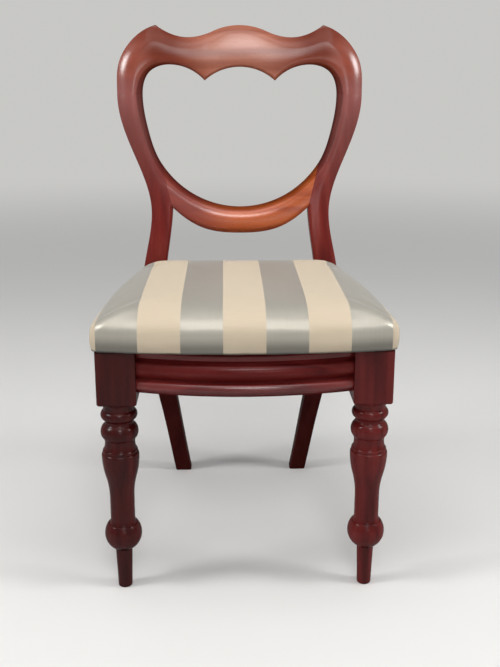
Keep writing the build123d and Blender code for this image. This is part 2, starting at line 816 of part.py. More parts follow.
def cushion(inset=0.0):
    """Crowned pad whose sides draw in towards the rails, smaller all round by an inset."""
    base, widest = rail_top + inset, rail_top + seat_widest
    crown = rail_top + seat_crown - inset
    sections = []
    for step in range(draw_in_steps):
        drop = 1 - step / draw_in_steps
        sections.append(
            seat_plan(widest - drop * (widest - base), inset, 1 - seat_draw_in * drop**2)
        )
    for step in range(crown_steps):
        angle = math.pi / 2 * step / crown_steps
        rise, share = (turn(angle) ** (2 / seat_fullness) for turn in (math.sin, math.cos))
        sections.append(seat_plan(widest + rise * (crown - widest), inset, share))
    with BuildPart() as pad:
        loft(sections + [Vertex(0, seat_middle_y, crown)])
    return pad.part


def seat_frame_ring():
    """The seat frame's outline before it is cut into its four members."""
    with BuildPart() as ring:
        extrude(seat_plan(frame_bottom, seat_frame_inset), amount=seat_frame_thickness)
        extrude(seat_plan(frame_bottom, seat_frame_inset + seat_member_width),
                amount=seat_frame_thickness, mode=Mode.SUBTRACT)
        with Locations(*peg_feet):
            Cylinder(peg_radius + seat_clearance, peg_rise + peg_headroom, align=START,
                     mode=Mode.SUBTRACT)
        add(dowel_holes(seat_dowel_places, seat_dowel_radius, seat_dowel_length), mode=Mode.SUBTRACT)
    return ring.part


peg_feet = [(leg_x, leg_y, rail_top), (-leg_x, leg_y, rail_top)]
seat_joint_ys = (seat_joint_y, seat_rear_joint_y)
seat_dowel_places = [
    Plane(origin=(side * (seat_edge_x(y, seat_frame_inset + seat_member_width / 2)
                          + step * seat_dowel_spacing / 2), y,
                  frame_bottom + seat_frame_thickness / 2), z_dir=(0, 1, 0))
    for y in seat_joint_ys for side in (-1, 1) for step in (-1, 1)
]
front_joint = Plane(origin=(0, seat_joint_y, 0), z_dir=(0, 1, 0))
rear_joint = Plane(origin=(0, seat_rear_joint_y, 0), z_dir=(0, 1, 0))

with BuildPart() as seat_frame_front:
    add(seat_frame_ring())
    split(bisect_by=front_joint, keep=Keep.BOTTOM)
seat_frame_front.part.label = "seat_frame_front"

with BuildPart() as seat_frame_back:
    add(seat_frame_ring())
    split(bisect_by=rear_joint, keep=Keep.TOP)
seat_frame_back.part.label = "seat_frame_back"

with BuildPart() as seat_frame_right:
    add(seat_frame_ring())
    split(bisect_by=front_joint, keep=Keep.TOP)
    split(bisect_by=rear_joint, keep=Keep.BOTTOM)
    split(bisect_by=Plane.YZ, keep=Keep.TOP)
seat_frame_right.part.label = "seat_frame_right"

with BuildPart() as seat_frame_left:
    mirror(seat_frame_right.part, about=Plane.YZ)
seat_frame_left.part.label = "seat_frame_left"

with BuildPart() as seat_frame_dowels:
    add(dowels(seat_dowel_places, seat_dowel_radius, seat_dowel_length))
seat_frame_dowels.part.label = "seat_frame_dowels"

with BuildPart() as webbing:
    web_front = seat_front_y + seat_front_bow + seat_frame_inset + webbing_margin
    web_back = seat_back_y - seat_frame_inset - webbing_margin
    with Locations((0, (web_front + web_back) / 2, frame_top)):
        pitch_x = (2 * (seat_back_half - seat_frame_inset - webbing_margin) - webbing_width) / (
            lengthwise_webs - 1
        )
        with GridLocations(pitch_x, 0, lengthwise_webs, 1):
            Box(webbing_width, web_back - web_front, webbing_thickness, align=START)
    pitch_y = (web_back - web_front - webbing_width) / (crosswise_webs - 1)
    for step in range(crosswise_webs):
        y = web_front + webbing_width / 2 + step * pitch_y
        half = seat_edge_x(y + webbing_width / 2, seat_frame_inset + webbing_margin)
        with Locations((0, y, frame_top + webbing_thickness)):
            Box(2 * half, webbing_width, webbing_thickness, align=START)
webbing.part.label = "webbing"

with BuildPart() as hessian:
    extrude(seat_plan(webs_top, seat_frame_inset + hessian_margin), amount=hessian_thickness)
hessian.part.label = "hessian"

with BuildPart() as seat_stuffing:
    add(cushion(cover_thickness + cover_gap))
    extrude(seat_plan(rail_top, seat_frame_inset - cover_gap), amount=hessian_top - rail_top,
            mode=Mode.SUBTRACT)
seat_stuffing.part.label = "seat_stuffing"

with BuildPart() as seat_cover:
    add(cushion())
    add(cushion(cover_thickness), mode=Mode.SUBTRACT)
    extrude(seat_plan(rail_top, seat_frame_inset + cover_return), amount=cover_thickness,
            mode=Mode.SUBTRACT)
    with Locations(*peg_feet):
        Cylinder(peg_radius + seat_clearance, cover_thickness, align=START, mode=Mode.SUBTRACT)
seat_cover.part.label = "seat_cover"

with BuildPart() as bottom_cloth:
    extrude(seat_plan(rail_top + lining_clearance, seat_frame_inset + cover_return + cover_gap),
            amount=cover_thickness - lining_clearance)
bottom_cloth.part.label = "bottom_cloth"

pieces = (
    crest_rail, cross_rail, left_back_upright, right_back_upright, crest_dowels, cross_rail_dowels,
    front_rail, back_rail, left_side_rail, right_side_rail, seat_rail_dowels,
    left_front_leg, right_front_leg, left_front_brace, right_front_brace, left_rear_brace,
    right_rear_brace, corner_block_screws, seat_pegs,
    seat_frame_front, seat_frame_back, seat_frame_left, seat_frame_right, seat_frame_dowels,
    webbing, hessian, seat_stuffing, seat_cover, bottom_cloth,
)
os.makedirs("parts", exist_ok=True)
for piece in pieces:
    export_step(piece.part, f"parts/{piece.part.label}.step")
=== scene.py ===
"""Balloon back dining chair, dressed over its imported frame.

Metres, in the frame's own axes: +Z up, +Y towards the back, +X to the right as seen from the front.
Shapes that say so are drawn in millimetres, and are multiplied by MM when their mesh is made.
"""

from __future__ import annotations

import logging
import math
from collections.abc import Callable, Sequence
from dataclasses import dataclass, field
from enum import Enum
from typing import Protocol

import bmesh
import bpy
import numpy as np
from mathutils import Matrix, Vector


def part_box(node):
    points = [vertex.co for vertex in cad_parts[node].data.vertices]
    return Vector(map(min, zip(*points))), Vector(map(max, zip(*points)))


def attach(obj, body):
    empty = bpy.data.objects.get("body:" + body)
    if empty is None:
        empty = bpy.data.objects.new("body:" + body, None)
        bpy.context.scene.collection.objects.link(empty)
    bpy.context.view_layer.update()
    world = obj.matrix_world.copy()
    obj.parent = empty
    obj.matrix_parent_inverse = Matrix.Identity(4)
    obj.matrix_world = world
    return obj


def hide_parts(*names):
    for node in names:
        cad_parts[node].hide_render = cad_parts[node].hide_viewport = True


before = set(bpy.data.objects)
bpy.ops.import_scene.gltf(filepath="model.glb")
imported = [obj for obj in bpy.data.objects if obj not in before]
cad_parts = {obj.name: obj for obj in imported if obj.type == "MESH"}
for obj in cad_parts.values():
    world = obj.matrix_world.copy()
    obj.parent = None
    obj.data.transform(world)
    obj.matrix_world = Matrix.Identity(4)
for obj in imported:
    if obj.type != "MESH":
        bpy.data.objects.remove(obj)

LOG = logging.getLogger("balloon_back_chair")
MM = 0.001
SMOOTH_ANGLE = math.radians(38)
LEG_SMOOTH_ANGLE = math.radians(30)
MERGE_DISTANCE = 1e-6

Point = tuple[float, float]
Colour = tuple[float, float, float]
Point3 = tuple[float, float, float]


class Body(Enum):
    """The two bodies that pieces ride on."""

    CHAIR = "chair_frame"
    SEAT = "seat"


class Grain(Enum):
    """Direction that the grain of a board runs in, as stretches of the three axes."""

    ACROSS = (0.07, 1.0, 1.0)
    UPRIGHT = (1.0, 1.0, 0.07)
    DEPTH = (1.0, 0.07, 1.0)


# Numbers, curves and meshes


def smoothstep(low: float, high: float, value: np.ndarray | float) -> np.ndarray:
    """Ease from 0 at low to 1 at high."""
    share = np.clip((np.asarray(value, dtype=float) - low) / (high - low), 0.0, 1.0)
    return share * share * (3 - 2 * share)


def clamped_spline(points: Sequence[Point], start: Point, end: Point, count: int) -> np.ndarray:
    """Smooth curve through points with given directions at its two ends.

    Args:
        points: places that the curve goes through.
        start: direction at the first of them.
        end: direction at the last of them.
        count: number of points to return.

    Returns:
        An array of count points, the ends included.
    """
    knots = np.array(points, dtype=float)
    spans = np.linalg.norm(np.diff(knots, axis=0), axis=1)
    last = len(knots) - 1
    system, wanted = np.eye(last + 1), np.zeros((last + 1, 2))
    wanted[0] = np.array(start) / np.linalg.norm(start)
    wanted[last] = np.array(end) / np.linalg.norm(end)
    for i in range(1, last):
        before, after = spans[i - 1], spans[i]
        system[i, i - 1 : i + 2] = after, 2 * (before + after), before
        wanted[i] = 3 * (
            after * (knots[i] - knots[i - 1]) / before + before * (knots[i + 1] - knots[i]) / after
        )
    slopes = np.linalg.solve(system, wanted)
    stations = np.concatenate([[0], np.cumsum(spans)])
    at = np.linspace(0, stations[-1], count)
    index = np.clip(np.searchsorted(stations, at, side="right") - 1, 0, last - 1)
    span = spans[index][:, None]
    t = (at - stations[index])[:, None] / span
    return (
        (2 * t**3 - 3 * t**2 + 1) * knots[index]
        + (t**3 - 2 * t**2 + t) * span * slopes[index]
        + (3 * t**2 - 2 * t**3) * knots[index + 1]
        + (t**3 - t**2) * span * slopes[index + 1]
    )


def tangent_arc(start: Point, end: Point, direction: Point, count: int) -> np.ndarray:
    """Circular arc between two points that leaves the first one in a direction.

    Args:
        start: first point.
        end: last point.
        direction: direction at the first point.
        count: number of points to return.

    Returns:
        An array of count points, the ends included.
    """
    begin, chord = np.array(start), np.array(end) - np.array(start)
    along = np.array(direction) / np.linalg.norm(direction)
    normal = np.array((-along[1], along[0]))
    radius = chord.dot(chord) / (2 * chord.dot(normal))
    centre = begin + radius * normal
    turn = 2 * math.atan2(chord.dot(normal), chord.dot(along))
    angles = np.linspace(0, turn, count)
    spoke = begin - centre
    cosines, sines = np.cos(angles), np.sin(angles)
    return centre + np.stack(
        [cosines * spoke[0] - sines * spoke[1], sines * spoke[0] + cosines * spoke[1]], axis=1
    )


def arc_through(start: Point, middle: Point, end: Point, count: int) -> np.ndarray:
    """Circular arc through three points."""
    a, b, c = (np.array(p, dtype=float) for p in (start, middle, end))
    system = 2 * np.array([b - a, c - a])
    centre = np.linalg.solve(system, [b.dot(b) - a.dot(a), c.dot(c) - a.dot(a)])
    spoke = a - centre
    side = np.cross(b - a, c - b)
    quarter = np.array((-spoke[1], spoke[0])) * (1 if side > 0 else -1)
    return tangent_arc(start, end, tuple(quarter), count)


def straight(start: Point, end: Point, count: int) -> np.ndarray:
    """Straight run between two points."""
    return np.linspace(start, end, count)


def landing_arc(start: Point, end: Point, direction: Point, count: int) -> np.ndarray:
    """Circular arc between two points that has a direction at the last one, looking back."""
    return tangent_arc(end, start, direction, count)[::-1]


def joined(*runs: np.ndarray) -> np.ndarray:
    """Runs that follow each other as one, without the points that they share."""
    return np.concatenate([runs[0]] + [run[1:] for run in runs[1:]])


def chained(start: Point, *moves: tuple) -> np.ndarray:
    """A run of moves, each of which starts where the last one ended.

    Args:
        start: first point of the run.
        moves: for each move its function and that function's arguments after the start.

    Returns:
        The points of all moves.
    """
    runs = []
    for draw, *rest in moves:
        runs.append(draw(start, *rest))
        start = rest[1] if draw is arc_through else rest[0]
    return joined(*runs)


def shares_along(run: np.ndarray) -> np.ndarray:
    """Share of a run's length that lies behind each of its points."""
    steps = np.linalg.norm(np.diff(run, axis=0), axis=1)
    return np.concatenate([[0], np.cumsum(steps)]) / steps.sum()


def resampled(run: np.ndarray, shares: np.ndarray) -> np.ndarray:
    """Points of a run at shares of its length."""
    along = shares_along(run)
    return np.stack([np.interp(shares, along, values) for values in run.T], axis=1)


def mirrored(run: np.ndarray) -> np.ndarray:
    """A run on the other side of the chair, with its points in the same order."""
    return run * np.array((-1.0,) + (1.0,) * (run.shape[1] - 1))


def both_sides(*runs: np.ndarray) -> tuple[np.ndarray, ...]:
    """Runs that end in the middle of the chair, carried on over its other side."""
    return tuple(np.concatenate([run, mirrored(run)[::-1][1:]]) for run in runs)


def at_height(plan: np.ndarray, height: float) -> np.ndarray:
    """The points of a plan, laid at a height."""
    return np.concatenate([plan, np.full((len(plan), 1), height)], axis=1)


def mesh_object(name: str, points: np.ndarray, faces: Sequence[Sequence[int]]) -> bpy.types.Object:
    """A new smooth-shaded mesh object whose creases over SMOOTH_ANGLE stay sharp.

    Args:
        name: name of the piece.
        points: its corners, in metres.
        faces: lists of corner numbers.

    Returns:
        The object, linked to the scene.
    """
    mesh = bpy.data.meshes.new(name)
    mesh.from_pydata([tuple(map(float, p)) for p in points], [], [list(face) for face in faces])
    piece = bpy.data.objects.new(name, mesh)
    bpy.context.scene.collection.objects.link(piece)
    tidy_mesh(piece)
    return piece


def tidy_mesh(piece: bpy.types.Object, angle: float = SMOOTH_ANGLE) -> None:
    """Merge doubled corners, turn all faces outwards and set which edges stay sharp."""
    shape = bmesh.new()
    shape.from_mesh(piece.data)
    bmesh.ops.remove_doubles(shape, verts=shape.verts, dist=MERGE_DISTANCE)
    bmesh.ops.dissolve_degenerate(shape, edges=shape.edges, dist=MERGE_DISTANCE)
    bmesh.ops.recalc_face_normals(shape, faces=shape.faces)
    shape.to_mesh(piece.data)
    shape.free()
    piece.data.polygons.foreach_set("use_smooth", [True] * len(piece.data.polygons))
    piece.data.set_sharp_from_angle(angle=angle)


def loft(name: str, rings: np.ndarray, capped: bool = True) -> bpy.types.Object:
    """A skin over closed rings that all have as many points.

    Args:
        name: name of the piece.
        rings: array of rings, points and coordinates.
        capped: whether the first and last ring are closed.

    Returns:
        The object.
    """
    rows, columns = rings.shape[:2]
    faces: list[list[int]] = []
    for row in range(rows - 1):
        for column in range(columns):
            beside = (column + 1) % columns
            low, high = row * columns, (row + 1) * columns
            faces.append([low + column, low + beside, high + beside, high + column])
    if capped:
        faces.append(list(range(columns))[::-1])
        faces.append([(rows - 1) * columns + column for column in range(columns)])
    return mesh_object(name, rings.reshape(-1, 3), faces)


def applied(piece: bpy.types.Object) -> bpy.types.Object:
    """The piece with its modifiers made part of its mesh."""
    graph = bpy.context.evaluated_depsgraph_get()
    mesh = bpy.data.meshes.new_from_object(piece.evaluated_get(graph), depsgraph=graph)
    piece.modifiers.clear()
    old, piece.data = piece.data, mesh
    bpy.data.meshes.remove(old)
    return piece


def combined(piece: bpy.types.Object, other: bpy.types.Object, how: str) -> bpy.types.Object:
    """The union or difference of two closed pieces, after which the second one is gone."""
    cut = piece.modifiers.new(how.lower(), "BOOLEAN")
    cut.operation, cut.object, cut.solver = how, other, "EXACT"
    applied(piece)
    bpy.data.objects.remove(other)
    return piece


def store(piece: bpy.types.Object, **values: np.ndarray) -> None:
    """Store a number for each corner of a piece under each name, for its material to read."""
    for name, numbers in values.items():
        layer = piece.data.attributes.new(name, "FLOAT", "POINT")
        layer.data.foreach_set("value", np.asarray(numbers, dtype=np.float32))


def corners(piece: bpy.types.Object, what: str = "co") -> np.ndarray:
    """Places of all corners of a piece, or their normals."""
    flat = np.empty(len(piece.data.vertices) * 3)
    piece.data.vertices.foreach_get(what, flat)
    return flat.reshape(-1, 3)


def set_corners(piece: bpy.types.Object, places: np.ndarray) -> None:
    """Move all corners of a piece."""
    piece.data.vertices.foreach_set("co", places.reshape(-1))
    piece.data.update()


# Shader building


def math_operator(operation: str, turned: bool = False) -> Callable[[Wire, Wire | float], Wire]:
    """An operator that adds a Math node, with its two values the other way round if turned."""

    def apply(self: Wire, other: Wire | float) -> Wire:
        """The node's output."""
        pair = (other, self) if turned else (self, other)
        return self.maker.math(operation, *pair)

    return apply


class Wire:
    """A shader output whose arithmetic adds Math nodes to its material."""

    def __init__(self, maker: Shader, socket: bpy.types.NodeSocket | None) -> None:
        """Wrap a socket of a material that is being made."""
        self.maker = maker
        self.socket = socket

    __add__, __radd__ = math_operator("ADD"), math_operator("ADD", turned=True)
    __sub__, __rsub__ = math_operator("SUBTRACT"), math_operator("SUBTRACT", turned=True)
    __mul__, __pow__ = math_operator("MULTIPLY"), math_operator("POWER")
    __mod__ = math_operator("FLOORED_MODULO")

    def above(self, limit: float, softness: float) -> Wire:
        """0 below a limit and 1 above it, with a soft step between."""
        return self.maker.node(
            "MapRange", {"interpolation_type": "SMOOTHSTEP"}, Value=self,
            **{"From Min": limit - softness, "From Max": limit + softness},
        )


class Shader:
    """One node material in the making."""

    def __init__(self, name: str, world: bpy.types.World | None = None) -> None:
        """Start an empty material, or empty the nodes of a world."""
        self.owner = world or bpy.data.materials.new(name)
        self.owner.use_nodes = True
        self.tree = self.owner.node_tree
        self.tree.nodes.clear()

    def node(
        self, kind: str, settings: dict | None = None, output: str | int = 0, **values
    ) -> Wire:
        """Add a node.

        Args:
            kind: Blender's name for the node's type, without the ShaderNode before it.
            settings: properties that are set first; stops gives the stops of a ramp.
            output: name or number of the output that is wanted.
            values: numbers, colours or wires for the node's inputs, by name.

        Returns:
            The wanted output.
        """
        made = self.tree.nodes.new("ShaderNode" + kind)
        for key, value in (settings or {}).items():
            if key == "stops":
                self._set_stops(made.color_ramp, value)
            else:
                setattr(made, key, value)
        for key, value in values.items():
            self._plug(self._input(made, key), value)
        return Wire(self, made.outputs[output] if made.outputs else None)

    @staticmethod
    def _set_stops(ramp: bpy.types.ColorRamp, stops: Sequence[tuple[float, Colour]]) -> None:
        """Give a colour ramp its stops."""
        while len(ramp.elements) < len(stops):
            ramp.elements.new(1.0)
        for element, (place, colour) in zip(ramp.elements, stops):
            element.position, element.color = place, (*colour, 1.0)

    @staticmethod
    def _input(made: bpy.types.Node, key: str) -> bpy.types.NodeSocket:
        """The enabled input of a node that has a name, or a number after in_."""
        if key.startswith("in_"):
            return made.inputs[int(key[3:])]
        return next(s for s in made.inputs if s.name == key and s.enabled)

    def _plug(self, socket: bpy.types.NodeSocket, value: Wire | float | Sequence[float]) -> None:
        """Link a wire to a socket, or set the socket's own value."""
        if isinstance(value, Wire):
            self.tree.links.new(value.socket, socket)
        elif socket.type == "RGBA" and not isinstance(value, (int, float)):
            socket.default_value = (*value[:3], 1.0)
        else:
            socket.default_value = value

    def math(self, operation: str, first: Wire | float, second: Wire | float) -> Wire:
        """A Math node on two values."""
        return self.node("Math", {"operation": operation}, in_0=first, in_1=second)

    def mix(self, share: Wire | float, first: Wire | Colour, second: Wire | Colour) -> Wire:
        """A mix of two colours."""
        return self.node(
            "Mix", {"data_type": "RGBA", "clamp_factor": True}, output=2,
            in_0=share, in_6=first, in_7=second,
        )

    def tinted(self, colour: Wire, amount: Wire) -> Wire:
        """A colour made lighter or darker by a factor."""
        return self.node("VectorMath", {"operation": "SCALE"}, Vector=colour, Scale=amount)

    def place(self, stretch: Point3 = (1, 1, 1), shift: Point3 = (0, 0, 0)) -> Wire:
        """Object coordinates in metres, stretched and shifted."""
        spot = self.node("TexCoord", output="Object")
        return self.node("Mapping", Vector=spot, Scale=stretch, Location=shift)

    def axis(self, number: int) -> Wire:
        """One object coordinate in metres."""
        spot = self.node("TexCoord", output="Object")
        return self.node("SeparateXYZ", output=number, Vector=spot)

    def value_of(self, name: str) -> Wire:
        """A number stored on the mesh under a name."""
        return self.node("Attribute", {"attribute_name": name}, output="Fac")

    def noise(self, at: Wire, scale: float, detail: float = 2.0, roughness: float = 0.5) -> Wire:
        """Soft noise between 0 and 1."""
        return self.node("TexNoise", Vector=at, Scale=scale, Detail=detail,
                         Roughness=roughness)

    def bump(self, height: Wire, strength: float, distance: float) -> Wire:
        """A normal that follows a height."""
        return self.node("Bump", Height=height, Strength=strength, Distance=distance)

    def finish(self, **values) -> bpy.types.Material:
        """Close the material with a Principled shader that has these inputs."""
        surface = self.node("BsdfPrincipled", **values)
        self.node("OutputMaterial", Surface=surface)
        return self.owner


# Finishes


class Finish(Protocol):
    """Anything that can make a material."""

    def make(self) -> bpy.types.Material:
        """Build the material."""

@dataclass(frozen=True)
class PolishedMahogany:
    """Red-stained mahogany under French polish.

    Attributes:
        name: name of the finish.
        dark: colour of the darkest growth lines.
        body: main colour.
        light: colour of the paler streaks.
        grain: direction of the grain.
        seed: shift that makes each board's figure its own.
        gloss: roughness of the wood under its coat.
        painted_shadow_from: height below which painted shadow darkens the colour and thins the coat.
        painted_shadow_to: height at which the painted shadow is deepest.
        painted_shadow: how much darker the painted shadow makes it there.
        polish: weight of the clear coat.
        coat_roughness: roughness of the clear coat.
        least_coat_in_shade: share of the coat that is left where the painted shade stored on the mesh is
            deepest.
        ends: colour that the board's ends turn to, by the share end_tone stored on its mesh.
        joint: colour that it turns to at its joint, by the share joint_tone.
    """

    name: str
    dark: Colour
    body: Colour
    light: Colour
    grain: Grain = Grain.UPRIGHT
    seed: float = 0.0
    gloss: float = 0.33
    painted_shadow_from: float = 0.0
    painted_shadow_to: float = -1.0
    painted_shadow: float = 0.0
    polish: float = 0.40
    coat_roughness: float = 0.22
    least_coat_in_shade: float = 0.02
    ends: Colour | None = None
    joint: Colour | None = None

    def make(self) -> bpy.types.Material:
        """Build the material."""
        shader = Shader(self.name)
        shift = (self.seed, self.seed * 0.37, self.seed * 0.71)
        board = shader.place(self.grain.value, shift)
        drift = shader.noise(shader.place(shift=shift), 5.0, 3.0)
        streaks = shader.noise(board, 95.0, 5.0, 0.62)
        broad = shader.noise(board, 24.0, 3.0, 0.55)
        figure = shader.node(
            "TexWave",
            {"wave_type": "BANDS", "bands_direction": "DIAGONAL", "wave_profile": "SIN"},
            Vector=board, Scale=16.0, Distortion=9.0, Detail=3.0, **{"Detail Scale": 1.6},
        )
        tone = streaks * 0.36 + broad * 0.34 + figure * 0.14 + drift * 0.20
        colour = shader.node(
            "ValToRGB",
            {"stops": [(0.30, self.dark), (0.52, self.body), (0.80, self.light)]}, Fac=tone,
        )
        pores = shader.noise(board, 1500.0, 1.0, 0.4).above(0.66, 0.06)
        colour = shader.mix(pores * 0.28, colour, tuple(share * 0.5 for share in self.dark))
        for share, target in (("end_tone", self.ends), ("joint_tone", self.joint)):
            if target:
                turned = shader.mix(tone, tuple(0.72 * part for part in target),
                                    tuple(1.32 * part for part in target))
                colour = shader.mix(shader.value_of(share), colour, turned)
        # Painted shade stored on the mesh darkens the colour and thins the coat; below 0 it is a painted
        # highlight that lightens the colour and thickens the coat.
        shade = shader.value_of("shade")
        colour = shader.tinted(colour, 1 - shade * 0.6)
        left = shader.math("MAXIMUM", 1 - shade * 1.8, self.least_coat_in_shade)
        polish = (self.polish - pores * 0.10) * left
        # Painted shadow under the seat: below a height the colour darkens and the coat thins.
        if self.painted_shadow:
            deep = shader.node(
                "MapRange", {"interpolation_type": "SMOOTHSTEP"}, Value=shader.axis(2),
                **{"From Min": self.painted_shadow_to, "From Max": self.painted_shadow_from,
                   "To Min": 1.0 - self.painted_shadow, "To Max": 1.0},
            )
            colour, polish = shader.tinted(colour, deep), polish * deep
        rubbed = shader.noise(shader.place(shift=shift), 38.0, 3.0)
        height = rubbed * 0.6 - pores * 0.2 + streaks * 0.12
        return shader.finish(
            **{
                "Base Color": colour,
                "Specular IOR Level": 0.0,
                "Roughness": self.gloss + rubbed * 0.10 + pores * 0.08,
                "Coat Weight": polish,
                "Coat Roughness": self.coat_roughness,
                "Coat IOR": 1.5,
                "Normal": shader.bump(height, 0.16, 0.0010),
            }
        )


@dataclass(frozen=True)
class BareBeech:
    """Unpolished beech of the hidden frame parts, with its short flecks."""

    name: str = "beech"
    grain: Grain = Grain.ACROSS
    dark: Colour = (0.36, 0.20, 0.095)
    light: Colour = (0.56, 0.36, 0.19)
    fleck: Colour = (0.22, 0.11, 0.05)

    def make(self) -> bpy.types.Material:
        """Build the material."""
        shader = Shader(self.name)
        board = shader.place(self.grain.value)
        tone = shader.noise(board, 70.0, 4.0, 0.6)
        colour = shader.mix(tone.above(0.5, 0.3), self.dark, self.light)
        flecks = shader.noise(board, 420.0, 1.0).above(0.63, 0.04)
        colour = shader.mix(flecks * 0.6, colour, self.fleck)
        return shader.finish(
            **{"Base Color": colour, "Roughness": 0.62 + tone * 0.15,
               "Normal": shader.bump(tone - flecks * 0.4, 0.25, 0.0008)}
        )


@dataclass(frozen=True)
class ScrewSteel:
    """Dull bright steel of the wood screws."""

    name: str = "screw_steel"
    colour: Colour = (0.46, 0.44, 0.42)

    def make(self) -> bpy.types.Material:
        """Build the material."""
        shader = Shader(self.name)
        stain = shader.noise(shader.place(), 260.0, 3.0)
        colour = shader.mix(stain.above(0.6, 0.15), self.colour, (0.26, 0.20, 0.16))
        return shader.finish(
            **{"Base Color": colour, "Metallic": 0.9, "Roughness": 0.34 + stain * 0.25}
        )


@dataclass(frozen=True)
class StripedSatin:
    """Furnishing cloth with broad stripes, matt cream ribs beside grey satin.

    Attributes:
        stripe: width of a stripe.
        centre: place of the middle of the central cream stripe.
        thread: distance between two threads.
    """

    name: str = "striped_satin"
    stripe: float = 62 * MM
    centre: float = -1 * MM
    thread: float = 0.55 * MM
    cream: Colour = (0.565, 0.475, 0.355)
    cream_low: Colour = (0.505, 0.415, 0.30)
    silver: Colour = (0.360, 0.334, 0.274)
    silver_high: Colour = (0.435, 0.414, 0.366)

    def make(self) -> bpy.types.Material:
        """Build the material."""
        shader = Shader(self.name)
        across = shader.value_of("cloth_across")
        along = shader.value_of("cloth_along")
        repeat = (across - self.centre + self.stripe / 2) % (2 * self.stripe)
        satin = repeat.above(self.stripe, 0.35 * MM) - (
            repeat.above(2 * self.stripe - 0.35 * MM, 0.35 * MM)
        )
        slub_place = shader.node("CombineXYZ", X=across * 5.0, Y=along * 260.0)
        slub = shader.noise(slub_place, 3.0, 2.0)
        warp_place = shader.node("CombineXYZ", X=across * 1100.0, Y=along * 14.0)
        warp = shader.noise(warp_place, 1.0, 1.0)
        cloud = shader.noise(shader.place(), 14.0, 3.0)
        cream = shader.mix(slub * 0.55 + cloud * 0.45, self.cream_low, self.cream)
        silver = shader.mix(warp * 0.5 + cloud * 0.5, self.silver, self.silver_high)
        ribs = self._thread_wave(shader, along)
        cords = self._thread_wave(shader, across)
        weave = (ribs + cords * 0.5) * (1 - satin) + cords * 0.45 * satin
        shade = 0.93 + weave * 0.05 + slub * 0.05
        # Painted shade on the cover's lower band, deeper on the satin stripes.
        shade = shade * (1 - shader.value_of("cloth_low") * (0.16 + satin * 0.42))
        # Painted shadow at the cover's bottom edge, with its reflection taken away.
        edge = shader.value_of("cloth_edge")
        colour = shader.tinted(shader.mix(satin, cream, silver), shade * (1 - edge * 0.85))
        return shader.finish(
            **{
                "Base Color": colour,
                "Metallic": satin * 0.55 * (1 - edge),
                "Roughness": 0.90 - satin * (0.53 - warp * 0.08),
                "Sheen Weight": 0.12,
                "Sheen Roughness": 0.4,
                "Normal": shader.bump(weave + slub * 0.6, 0.16, 0.0004),
            }
        )

    def _thread_wave(self, shader: Shader, distance: Wire) -> Wire:
        """Height of threads that lie side by side."""
        phase = distance * (2 * math.pi / self.thread)
        return shader.node("Math", {"operation": "SINE"}, in_0=phase) * 0.5 + 0.5


@dataclass(frozen=True)
class PlainWeave:
    """Coarse cloth of crossed threads, such as jute webbing, hessian or cotton lining."""

    name: str
    thread: float
    dark: Colour
    light: Colour
    relief: float = 0.6
    roughness: float = 0.9

    def make(self) -> bpy.types.Material:
        """Build the material."""
        shader = Shader(self.name)
        spacing = 2 * math.pi / self.thread
        warp, weft = (
            shader.node("Math", {"operation": "SINE"}, in_0=shader.axis(number) * spacing)
            for number in (0, 1)
        )
        crossing = warp * weft * 0.5 + 0.5
        fuzz = shader.noise(shader.place(), 700.0, 2.0)
        tone = crossing * 0.6 + fuzz * 0.4
        colour = shader.mix(tone, self.dark, self.light)
        return shader.finish(
            **{"Base Color": colour, "Roughness": self.roughness - fuzz * 0.1,
               "Normal": shader.bump(tone, self.relief, self.thread * 0.3)}
        )


@dataclass(frozen=True)
class CurledHair:
    """Calico drawn over curled hair, which shows as soft lumps and stray dark fibres."""

    name: str = "calico_over_hair"
    calico: Colour = (0.60, 0.53, 0.41)
    hair: Colour = (0.16, 0.11, 0.07)

    def make(self) -> bpy.types.Material:
        """Build the material."""
        shader = Shader(self.name)
        lumps = shader.noise(shader.place(), 60.0, 4.0, 0.6)
        fibres = shader.noise(shader.place((1.0, 0.2, 1.0)), 800.0, 2.0).above(0.66, 0.03)
        colour = shader.mix(fibres * 0.5, self.calico, self.hair)
        return shader.finish(
            **{"Base Color": colour, "Roughness": 0.86 + lumps * 0.1,
               "Normal": shader.bump(lumps, 0.5, 0.003)}
        )


# Places read from the frame


@dataclass(frozen=True)
class Places:
    """Datum planes and corners of the chair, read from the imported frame."""

    rail_top: float
    rail_bottom: float
    block_outer: float
    block_front: float
    block_inner: float
    upright_front: float
    crest_top: float
    joint_height: float
    seat_low: Vector
    seat_high: Vector

    @classmethod
    def from_frame(cls) -> Places:
        """Measure the nodes that other pieces are set out from."""
        rail_low, rail_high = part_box("front_rail")
        leg_low, leg_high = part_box("right_front_leg")
        seat_low, seat_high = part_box("seat_cover")
        return cls(
            rail_top=rail_high.z,
            rail_bottom=rail_low.z,
            block_outer=leg_high.x,
            block_front=leg_low.y,
            block_inner=rail_high.x,
            upright_front=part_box("back_rail")[0].y,
            crest_top=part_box("crest_rail")[1].z,
            joint_height=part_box("right_back_upright")[1].z,
            seat_low=seat_low,
            seat_high=seat_high,
        )


def dress(piece: bpy.types.Object, finish: Finish, node: str, body: Body = Body.CHAIR) -> bpy.types.Object:
    """Give a new piece its finish and its body, and hide the node of the frame that it stands for.

    Args:
        piece: the new object.
        finish: what makes its only material.
        node: node of the frame that it replaces.
        body: body that it rides on.

    Returns:
        The same object.
    """
    piece.data.materials.clear()
    piece.data.materials.append(finish.make())
    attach(piece, body.value)
    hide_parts(node)
    LOG.info("%s: %d faces, rides on %s", piece.name, len(piece.data.polygons), body.value)
    return piece


# The back

